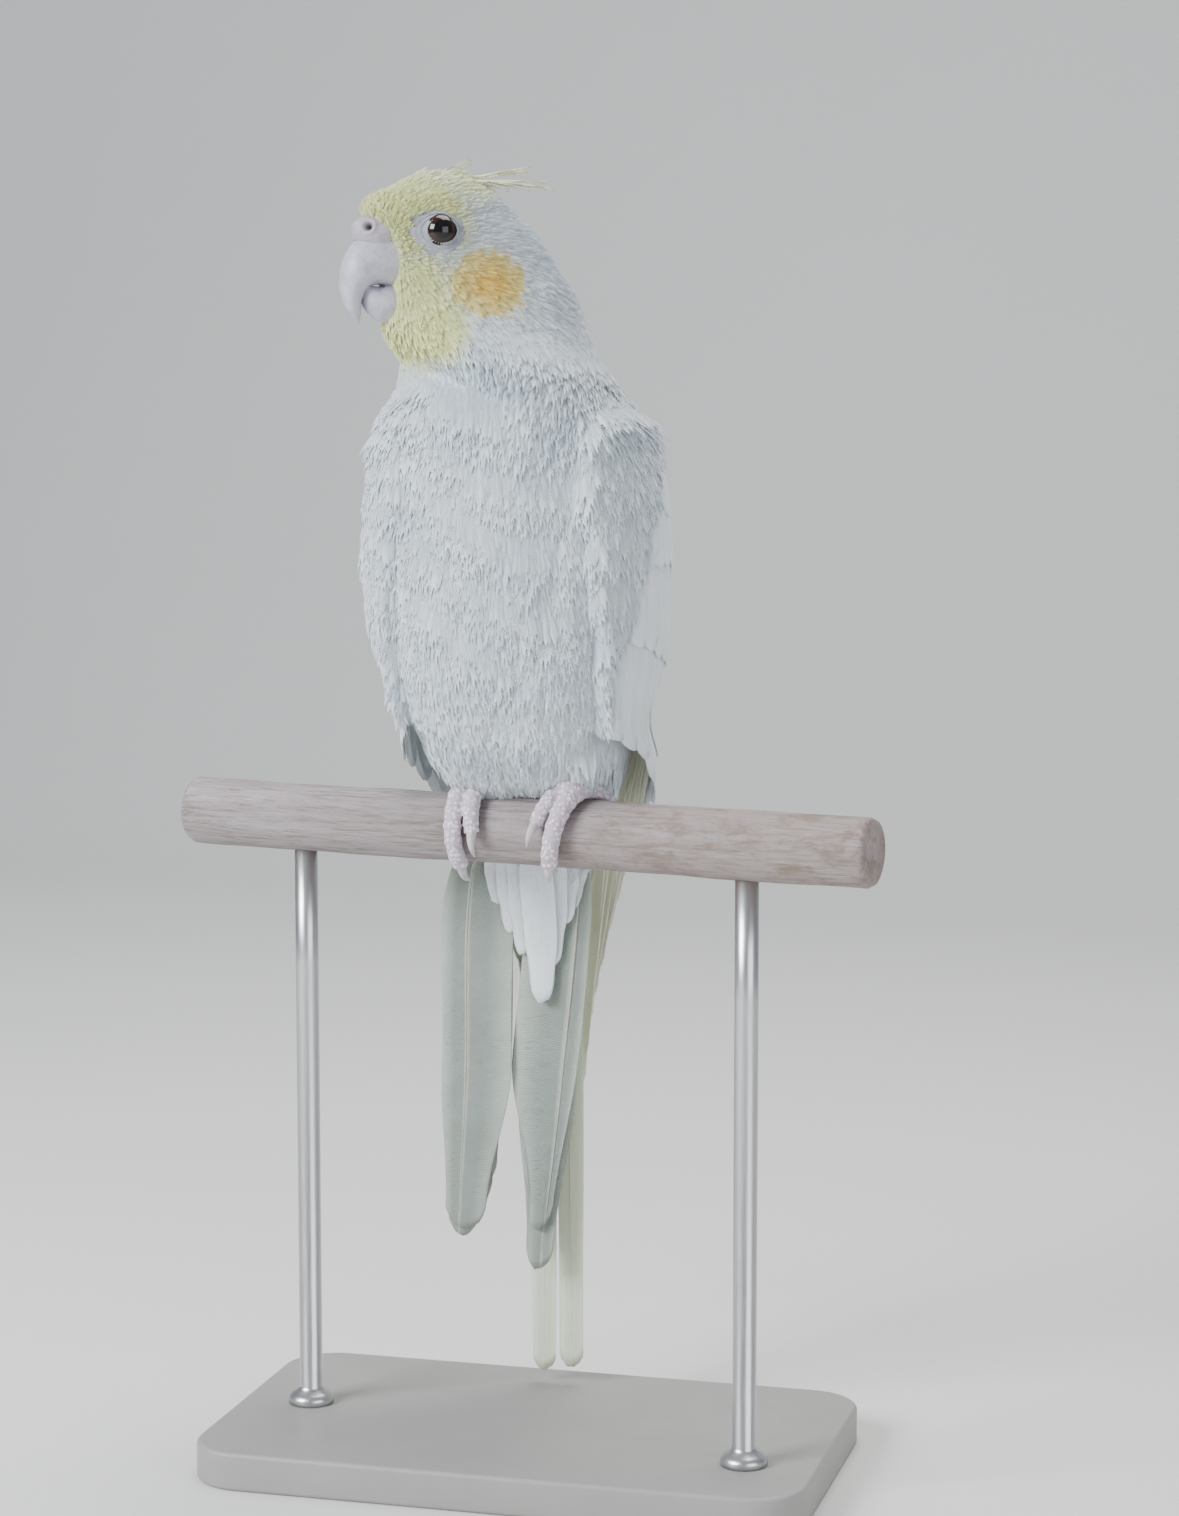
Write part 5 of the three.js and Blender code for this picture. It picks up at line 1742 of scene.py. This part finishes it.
feather_piece("crest_feathers", crest_vanes, crest_finish, ["crest"])

# %% [markdown]
# ## Bill and cere
# The upper bill is a hooked horn, lofted along a bent middle line. The lower one is a short
# cup that fits behind it. The cere is the soft swelling above, with a nostril either side.

# %% Bill
UPPER_BILL = [
    (13, -2, 7.6, 6.2),
    (19, -2, 7.4, 6.1),
    (23.4, -4, 5.7, 5.4),
    (26.2, -7.6, 3.8, 4.2),
    (26.8, -12, 2.4, 2.8),
    (25.8, -15.6, 1.2, 1.3),
    (25.2, -18, 0.15, 0.15),
]
LOWER_BILL = [
    (12, -12.4, 5, 5.4),
    (17, -13, 5, 5.2),
    (20.8, -12, 4, 4.4),
    (23, -10, 1.8, 2.6),
    (23.8, -8.6, 0.2, 0.3),
]


def smooth_line(table, steps):
    """A table's rows on a smooth curve, evenly along its length."""
    table = np.array(table, float)
    walked = np.concatenate(
        [[0], np.cumsum(np.linalg.norm(np.diff(table[:, :2], axis=0), axis=1))]
    )
    rows = rows_at(np.column_stack([walked, table]), np.linspace(0, walked[-1], steps))
    return rows[:, 1:]


def bill_rings(table, steps, sides, keel=0.0):
    """Rings in the head's middle plane along a bill's bent line."""
    rows = smooth_line(table, steps)
    run = np.gradient(rows[:, :2], axis=0)
    run /= np.linalg.norm(run, axis=1)[:, None]
    normal = np.stack([-run[:, 1], run[:, 0]], axis=1)
    angle = np.linspace(0, 2 * np.pi, sides, endpoint=False)
    high = rows[:, 2:3] * np.cos(angle) * (1 + keel * np.cos(angle) ** 8)
    wide = rows[:, 3:4] * np.sin(angle)
    ahead = rows[:, 0:1] + normal[:, 0:1] * high
    up = rows[:, 1:2] + normal[:, 1:2] * high
    return head_point(ahead, wide, up)


def bill_piece(name, table, keel, finish, replaced):
    rings = bill_rings(table, 40, 40, keel)
    piece = add_mesh(
        name, *tube_mesh(rings, np.stack([rings[0].mean(axis=0), rings[-1].mean(axis=0)])), finish
    )
    face_outwards(piece)
    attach(piece, "root")
    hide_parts(replaced)
    return piece


bill_piece("bill_upper_horn", UPPER_BILL, 0.05, bill_finish, "bill_upper")
bill_piece("bill_lower_horn", LOWER_BILL, 0.0, bill_finish, "bill_lower")

# %% Cere
CERE = {"ahead": 20.0, "up": 3.9, "length": 6.4, "width": 6.0, "height": 5.2}
NOSTRIL = {"ahead": 24.0, "left": 3.9, "up": 5.2, "reach": 1.05, "depth": 1.9}
polar, round_about = np.meshgrid(
    np.linspace(0.02, np.pi - 0.02, 100),
    np.linspace(0, 2 * np.pi, 150, endpoint=False),
    indexing="ij",
)
ball_a = np.sin(polar) * np.cos(round_about)
ball_l = np.sin(polar) * np.sin(round_about)
ball_u = np.cos(polar)
cere_a = CERE["ahead"] + CERE["length"] * ball_a
cere_l = CERE["width"] * ball_l * (1 - 0.12 * np.exp(-((ball_l / 0.25) ** 2)))
cere_u = CERE["up"] + CERE["height"] * ball_u - 0.5 * np.exp(
    -((cere_l / 0.9) ** 2)
) * (ball_u > -0.3)
# mask of the painted shade in each nostril's dent
nostril_shade_mask = np.zeros(cere_a.shape)
for side in (-1, 1):
    far = np.sqrt(
        (cere_a - NOSTRIL["ahead"]) ** 2
        + (cere_l - side * NOSTRIL["left"]) ** 2
        + (cere_u - NOSTRIL["up"]) ** 2
    )
    dent = np.exp(-((far / NOSTRIL["reach"]) ** 4)) * NOSTRIL["depth"]
    nostril_shade_mask = np.maximum(nostril_shade_mask, np.exp(-((far / NOSTRIL["reach"]) ** 4)))
    rim = 0.35 * np.exp(-(((far - 1.75) / 0.5) ** 2))
    push = (rim - dent) / np.sqrt(
        (cere_a - CERE["ahead"]) ** 2 + cere_l**2 + (cere_u - CERE["up"]) ** 2
    )
    cere_a = cere_a + (cere_a - CERE["ahead"]) * push
    cere_l = cere_l + cere_l * push
    cere_u = cere_u + (cere_u - CERE["up"]) * push
cere_rings = head_point(cere_a, cere_l, cere_u)
cere_piece = add_mesh(
    "cere_swelling",
    *tube_mesh(cere_rings, np.stack([cere_rings[0].mean(axis=0), cere_rings[-1].mean(axis=0)])),
    cere_finish,
)
store(cere_piece.data, "nostril_shade_mask", "FLOAT", np.concatenate([nostril_shade_mask.ravel(), [0.0, 0.0]]))
face_outwards(cere_piece)
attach(cere_piece, "root")
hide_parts("cere")
print("bill and cere built")

# %% [markdown]
# ## Eyes and lids
# The eye is a dark glossy ball, deep in the head. Bare wrinkled skin rings it, raised into a
# lid at the ball and spreading towards the bill. We lay that ring on the skin by casting rays.


# %% Eyes
def eye_axis(side):
    axis = side * LEFT + 0.22 * AHEAD + 0.05 * UP
    return axis / np.linalg.norm(axis)


for side_name, side in (("left", 1), ("right", -1)):
    centre = head_point(EYE["ahead"], side * EYE["left"], EYE["up"])
    axis = eye_axis(side)
    first = np.cross(axis, UP)
    first /= np.linalg.norm(first)
    second = np.cross(axis, first)
    polar = np.linspace(0.04, np.pi - 0.04, 40)[:, None]
    about = np.linspace(0, 2 * np.pi, 56, endpoint=False)[None, :]
    ball_points = (
        centre
        + EYE["radius"]
        * (
            np.cos(polar)[..., None] * axis
            + (np.sin(polar) * np.cos(about))[..., None] * first
            + (np.sin(polar) * np.sin(about))[..., None] * second
        )
    )
    ends = np.stack([centre + EYE["radius"] * axis, centre - EYE["radius"] * axis])
    eye = add_mesh(f"eyeball_{side_name}", *tube_mesh(ball_points, ends), eye_finish)
    from_axis = np.concatenate([np.repeat(np.sin(polar), 56, axis=1).ravel(), [0.0, 0.0]])
    store(eye.data, "iris", "FLOAT", from_axis)
    face_outwards(eye)
    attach(eye, "root")
    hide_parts(f"eye_{side_name}")
print("eyes built")

# %% Lids
LID_STEPS, LID_ROUND = 26, 120
for side_name, side in (("left", 1), ("right", -1)):
    theta = np.linspace(0, 2 * np.pi, LID_ROUND, endpoint=False)
    go_a, go_u = np.cos(theta), np.sin(theta)
    reach = 1.0 / eye_oval(EYE["ahead"] + go_a, EYE["up"] + go_u)
    share = np.linspace(0, 1, LID_STEPS)
    inner = np.stack([3.25 * go_a, 2.75 * go_u], axis=1)
    outer_edge = np.stack([reach * 1.12 * go_a, reach * 1.12 * go_u], axis=1)
    spread = inner[None] + (outer_edge - inner)[None] * share[:, None, None]
    rings = np.empty((LID_STEPS, LID_ROUND, 3))
    eye_centre = head_point(EYE["ahead"], side * EYE["left"], EYE["up"])
    for i in range(LID_STEPS):
        for j in range(LID_ROUND):
            a, u = EYE["ahead"] + spread[i, j, 0], EYE["up"] + spread[i, j, 1]
            start = head_point(a, side * 30.0, u)
            hit = skin_tree.ray_cast(Vector(start), Vector(-side * LEFT))[0]
            on_skin = np.array(hit) if hit is not None else start
            rings[i, j] = on_skin
    flat = rings.copy()
    out = eye_axis(side)
    fold = 0.95 * np.exp(
        -(((share - 0.10) / 0.11) ** 2)
    ) + 0.30 * np.exp(-(((share - 0.38) / 0.08) ** 2))
    fold += 0.18 * np.exp(-(((share - 0.62) / 0.07) ** 2)) + 0.35 * (1 - share)
    beads = 1 + 0.10 * np.sin(theta * 34)[None, :] * np.exp(
        -(((share - 0.12) / 0.12) ** 2)
    )[:, None]
    lift = fold[:, None] * beads
    rings = flat + lift[..., None] * out
    under = rings[0] - 1.6 * out
    tucked = rings[-1] - 1.0 * out
    rings = np.concatenate([under[None], rings, tucked[None], (under - 0.4 * out)[None]])
    count = rings.shape[0]
    points = rings.reshape(-1, 3)
    faces = grid_faces(count, LID_ROUND, closed=True)
    last = (count - 1) * LID_ROUND
    faces += [
        (last + j, last + (j + 1) % LID_ROUND, (j + 1) % LID_ROUND, j) for j in range(LID_ROUND)
    ]
    lid = add_mesh(f"eyelid_{side_name}", points, faces, lid_finish)
    face_outwards(lid)
    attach(lid, "root")
print("lids built")

# %% [markdown]
# ## Feet
# Two toes go forward round the perch and two back. Each is a tube along an arc about the
# perch, a little fuller at its joints. A voxel remesh fuses the toes with the foot's middle,
# as skin does, and the claws are separate horn.

# %% Toes and claws
FEET = {
    "right": (
        -12.6,
        [
            (-14.2, -12.8, 4, 138, 2.55),
            (-10.8, -8.0, 2, 88, 2.4),
            (-15.2, -22, 8, -92, 2.1),
            (-10.8, -4.4, 6, -98, 2.1),
        ],
    ),
    "left": (
        16.0,
        [
            (18.0, 12.6, 4, 126, 2.6),
            (13.6, 9.6, 0, 72, 2.4),
            (13.4, 8, 6, -92, 2.1),
            (18.2, 23.4, 8, -98, 2.1),
        ],
    ),
}
FOOT_GAP = 0.3
HUB_RADIUS = 3.9
HUB_ANGLE = math.radians(17)
CLAW_LENGTH = 6.0


def toe_path(toe, steps):
    """Middle line of a toe round the perch."""
    begin, end, start_angle, end_angle, radius = toe
    t = np.linspace(0, 1, steps)
    angle = np.radians(start_angle + (end_angle - start_angle) * t)
    return perch_point(
        begin + (end - begin) * t, angle, PERCH_RADIUS + FOOT_GAP + radius - 0.25 * t
    )


def toe_rings(toe, steps=44, sides=22):
    t = np.linspace(0, 1, steps)
    joints = 0.10 * np.cos(t * 2 * np.pi * 3.5) ** 2 - 0.04 * np.cos(t * 2 * np.pi * 13)
    radii = toe[4] * (1 - 0.2 * t) * (1 + joints - 0.05)
    return path_rings(toe_path(toe, steps), radii, sides, over=ALONG)


for side_name, (hub_along, toes) in FEET.items():
    hub_centre = perch_point(hub_along, HUB_ANGLE, PERCH_RADIUS + HUB_RADIUS + FOOT_GAP - 0.2)
    stack = np.linspace(-1, 1, 14)
    hub_path = hub_centre + np.outer(stack * HUB_RADIUS * 0.98, UP)
    hub_rings = path_rings(hub_path, HUB_RADIUS * np.sqrt(1 - stack**2 * 0.96), 24, over=ALONG)
    foot = add_mesh(
        f"foot_skin_{side_name}", *tube_mesh(hub_rings, hub_path[[0, -1]]), foot_finish
    )
    face_outwards(foot)
    parts = []
    for number, toe in enumerate(toes, 1):
        rings = toe_rings(toe)
        path = toe_path(toe, 44)
        tip_ball = path[-1] + (path[-1] - path[-2]) * 0.6
        part = add_mesh(
            f"toe_{number}", *tube_mesh(rings, np.stack([path[0], tip_ball])), foot_finish
        )
        face_outwards(part)
        parts.append(part)
    join_pieces(foot, parts)
    fuse(foot, 0.34, 2)
    foot.data.materials.clear()
    foot.data.materials.append(foot_finish)
    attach(foot, "root")
    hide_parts(f"foot_{side_name}")
    for number, toe in enumerate(toes, 1):
        path = toe_path(toe, 12)
        along = path[-1] - path[-2]
        along /= np.linalg.norm(along)
        outward = path[-1] - (path[-1] @ ALONG) * ALONG
        outward /= np.linalg.norm(outward)
        t = np.linspace(0, 1, 24)
        line = (
            path[-1]
            + np.outer(-0.6 + (CLAW_LENGTH + 0.9) * t, along)
            + np.outer(1.2 * np.sin(np.pi * t) - 0.1, outward)
        )
        radii = np.interp(t, [0, 0.12, 0.4, 0.75, 1], [1.2, 1.42, 1.15, 0.66, 0.08])
        rings = path_rings(line, radii, 18, flatten=0.86, over=ALONG)
        claw = add_mesh(
            f"claw_horn_{side_name}_{number}", *tube_mesh(rings, line[[0, -1]]), claw_finish
        )
        face_outwards(claw)
        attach(claw, "root")
        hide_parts(f"claw_{side_name}_{number}")
    print("foot", side_name, len(foot.data.polygons))

# %% [markdown]
# ## Perch and stand
# The perch is bare turned wood, weathered, so its round is not quite true. The stand is plain:
# a flat
# painted base and two steel rods with a small foot, which the display needs and the photo
# doesn't have.

# %% Perch
PERCH_STEPS, PERCH_SIDES = 150, 72
along = np.linspace(-PERCH_LENGTH / 2, PERCH_LENGTH / 2, PERCH_STEPS)
about = np.linspace(0, 2 * np.pi, PERCH_SIDES, endpoint=False)
along_grid, about_grid = np.meshgrid(along, about, indexing="ij")
uneven = (
    0.14 * np.sin(along_grid * 0.055 + 1.0) * np.cos(about_grid)
    + 0.09 * np.sin(along_grid * 0.13 + 2 * about_grid)
    + 0.06 * np.sin(along_grid * 0.31 - 3 * about_grid)
)
knot = 0.35 * np.exp(-(((along_grid - 61) / 3.2) ** 2) - ((about_grid - 0.9) / 0.35) ** 2)
worn_end = np.clip((np.abs(along_grid) - (PERCH_LENGTH / 2 - 0.8)) / 0.8, 0, 1) ** 2 * 0.7
perch_grid = perch_point(along_grid, about_grid, PERCH_RADIUS - 0.1 + uneven + knot - worn_end)
perch_ends = perch_point(np.array([-PERCH_LENGTH / 2, PERCH_LENGTH / 2]), 0.0, 0.0)
perch_wood = add_mesh("perch_wood", *tube_mesh(perch_grid, perch_ends), wood_finish)
face_outwards(perch_wood)
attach(perch_wood, "root")
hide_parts("perch")
print("perch faces", len(perch_wood.data.polygons))

# %% Stand
BASE_LENGTH, BASE_DEPTH, BASE_THICKNESS, BASE_CORNER, BASE_EDGE = 160.0, 92.0, 10.0, 14.0, 1.2
ROD_RADIUS, ROD_SPREAD = 3.0, 62.0


def rounded_outline(length_x, depth_y, corner, steps=14):
    """Points round a rectangle with round corners."""
    outline = []
    for quarter, (sx, sy) in enumerate(((1, 1), (-1, 1), (-1, -1), (1, -1))):
        a = np.linspace(0, np.pi / 2, steps) + quarter * np.pi / 2
        cx, cy = sx * (length_x / 2 - corner), sy * (depth_y / 2 - corner)
        outline.append(np.stack([cx + corner * np.cos(a), cy + corner * np.sin(a)], axis=1))
    return np.vstack(outline)


layers = []
bevel = np.linspace(0, np.pi / 2, 6)
profile = [(BASE_EDGE * (1 - math.sin(b)), BASE_EDGE * (1 - math.cos(b))) for b in bevel]
profile += [
    (BASE_EDGE * (1 - math.cos(b)), BASE_THICKNESS - BASE_EDGE * (1 - math.sin(b))) for b in bevel
]
for inset, z in profile:
    ring = rounded_outline(BASE_LENGTH - 2 * inset, BASE_DEPTH - 2 * inset, BASE_CORNER - inset)
    layers.append(np.column_stack([ring, np.full(len(ring), z)]))
base_rings = np.array(layers)
base_ends = np.array([[0, 0, 0.0], [0, 0, BASE_THICKNESS]])
base_points, base_faces = tube_mesh(base_rings, base_ends)
base_plate = add_mesh("stand_base_plate", base_points, base_faces, base_finish, where=np.zeros(3))
face_outwards(base_plate)
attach(base_plate, "root")
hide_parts("stand_base")

foot_z = BASE_THICKNESS - ORIGIN[2]
rod_profile = [
    (0.3, foot_z),
    (6, foot_z),
    (6, foot_z + 1.6),
    (5.6, foot_z + 2.2),
    (5, foot_z + 2.8),
    (3.5, foot_z + 3.7),
    (ROD_RADIUS, foot_z + 4.6),
    (ROD_RADIUS, -PERCH_RADIUS - 30),
    (ROD_RADIUS, -PERCH_RADIUS + 2.5),
]
for side_name, rod_along in (("left", ROD_SPREAD), ("right", -ROD_SPREAD)):
    at = perch_point(rod_along, 0.0, 0.0)
    about = np.linspace(0, 2 * np.pi, 48, endpoint=False)
    rings = np.array(
        [
            np.stack(
                [at[0] + r * np.cos(about), at[1] + r * np.sin(about), np.full(48, z)], axis=1
            )
            for r, z in rod_profile
        ]
    )
    ends = np.array([[at[0], at[1], rod_profile[0][1]], [at[0], at[1], rod_profile[-1][1]]])
    rod = add_mesh(f"stand_rod_steel_{side_name}", *tube_mesh(rings, ends), rod_finish)
    face_outwards(rod)
    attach(rod, "root")
    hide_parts(f"stand_rod_{side_name}")
print("stand built")

# %% [markdown]
# ## Studio
# A pale floor sweeps up behind into a backdrop. The light is large and soft from the upper
# left, as from a window, with a weaker fill from the right and a little from behind.

# %% Floor and backdrop
floor_finish, tree, shader, place = new_material("Studio floor")
grain = add_group(tree, mottle, Place=place, Scale=3.0, Grain=400.0)
tree.links.new(
    mix_colour(tree, grain["Tone"], (0.66, 0.655, 0.64, 1), (0.70, 0.695, 0.68, 1)),
    shader.inputs["Base Color"],
)
tree.links.new(scaled(tree, grain["Fine"], 0.1, 0.75), shader.inputs["Roughness"])
sweep_angle = np.linspace(0, np.pi / 2, 24)
SWEEP = 600.0
sweep = [(-1600.0, 0.0), (0.0, 0.0), (500.0, 0.0)]
sweep += [(900 + SWEEP * math.sin(a), SWEEP * (1 - math.cos(a))) for a in sweep_angle]
sweep += [(900 + SWEEP, 2600.0)]
yz = np.array(sweep)
x = np.linspace(-2600, 2600, 12)
floor_points = np.stack(
    [
        np.repeat(x[None, :], len(yz), axis=0),
        np.repeat(yz[:, :1], len(x), axis=1),
        np.repeat(yz[:, 1:], len(x), axis=1),
    ],
    axis=-1,
)
floor = add_mesh(
    "studio_floor",
    floor_points.reshape(-1, 3),
    grid_faces(len(yz), len(x)),
    floor_finish,
    where=np.zeros(3),
)

# %% Lights
AIM = Vector(row_place((0, 0, 60)))


def soft_light(name, place, size, power, colour):
    """A large square lamp that faces the bird."""
    lamp = bpy.data.lights.new(name, "AREA")
    lamp.shape = "SQUARE"
    lamp.size = size
    lamp.energy = power
    lamp.color = colour
    holder = bpy.data.objects.new(name, lamp)
    bpy.context.scene.collection.objects.link(holder)
    holder.location = place
    holder.rotation_euler = (AIM - Vector(place)).to_track_quat("-Z", "Y").to_euler()
    return holder


soft_light("window", (-0.75, -0.85, 0.75), 0.6, 30.0, (0.95, 0.975, 1.0))
soft_light("fill", (0.95, -0.75, 0.35), 0.9, 8.0, (0.97, 0.98, 1.0))
soft_light("above", (0.1, 0.25, 1.1), 0.7, 12.0, (1.0, 0.99, 0.96))
world = bpy.data.worlds.new("studio")
bpy.context.scene.world = world
world.use_nodes = True
world.node_tree.nodes["Background"].inputs["Color"].default_value = (0.80, 0.88, 1.0, 1)
world.node_tree.nodes["Background"].inputs["Strength"].default_value = 0.36

# %% [markdown]
# The camera repeats the photo's: a lens of 81 mm on a 36 mm picture, 0.86 m from the perch,
# 6.7 degrees above it and 15 degrees round from the breast.

# %% Camera
LENS_PIXELS, PICTURE_HEIGHT, SENSOR = 3400.0, 1516.0, 36.0
CAMERA_AZIMUTH, CAMERA_RISE = math.radians(15.0), math.radians(6.7)
PERCH_RIGHT, PERCH_UP, PERCH_AWAY = -17.6, -18.36, 861.0
right_way = np.array([math.cos(CAMERA_AZIMUTH), math.sin(CAMERA_AZIMUTH), 0.0])
forward_way = np.array(
    [
        -math.sin(CAMERA_AZIMUTH) * math.cos(CAMERA_RISE),
        math.cos(CAMERA_AZIMUTH) * math.cos(CAMERA_RISE),
        -math.sin(CAMERA_RISE),
    ]
)
up_way = np.cross(right_way, forward_way)
camera_place = -PERCH_RIGHT * right_way - PERCH_UP * up_way - PERCH_AWAY * forward_way
camera_data = bpy.data.cameras.new("portrait")
camera_data.lens = LENS_PIXELS / PICTURE_HEIGHT * SENSOR
camera_data.sensor_width = SENSOR
camera_data.sensor_fit = "AUTO"
camera_data.clip_end = 20.0
camera = bpy.data.objects.new("portrait", camera_data)
bpy.context.scene.collection.objects.link(camera)
axes = Matrix((right_way, up_way, -forward_way)).transposed().to_4x4()
camera.matrix_world = Matrix.Translation(row_place(camera_place)) @ axes
bpy.context.scene.camera = camera
print("camera at", tuple(round(v, 3) for v in camera.location))
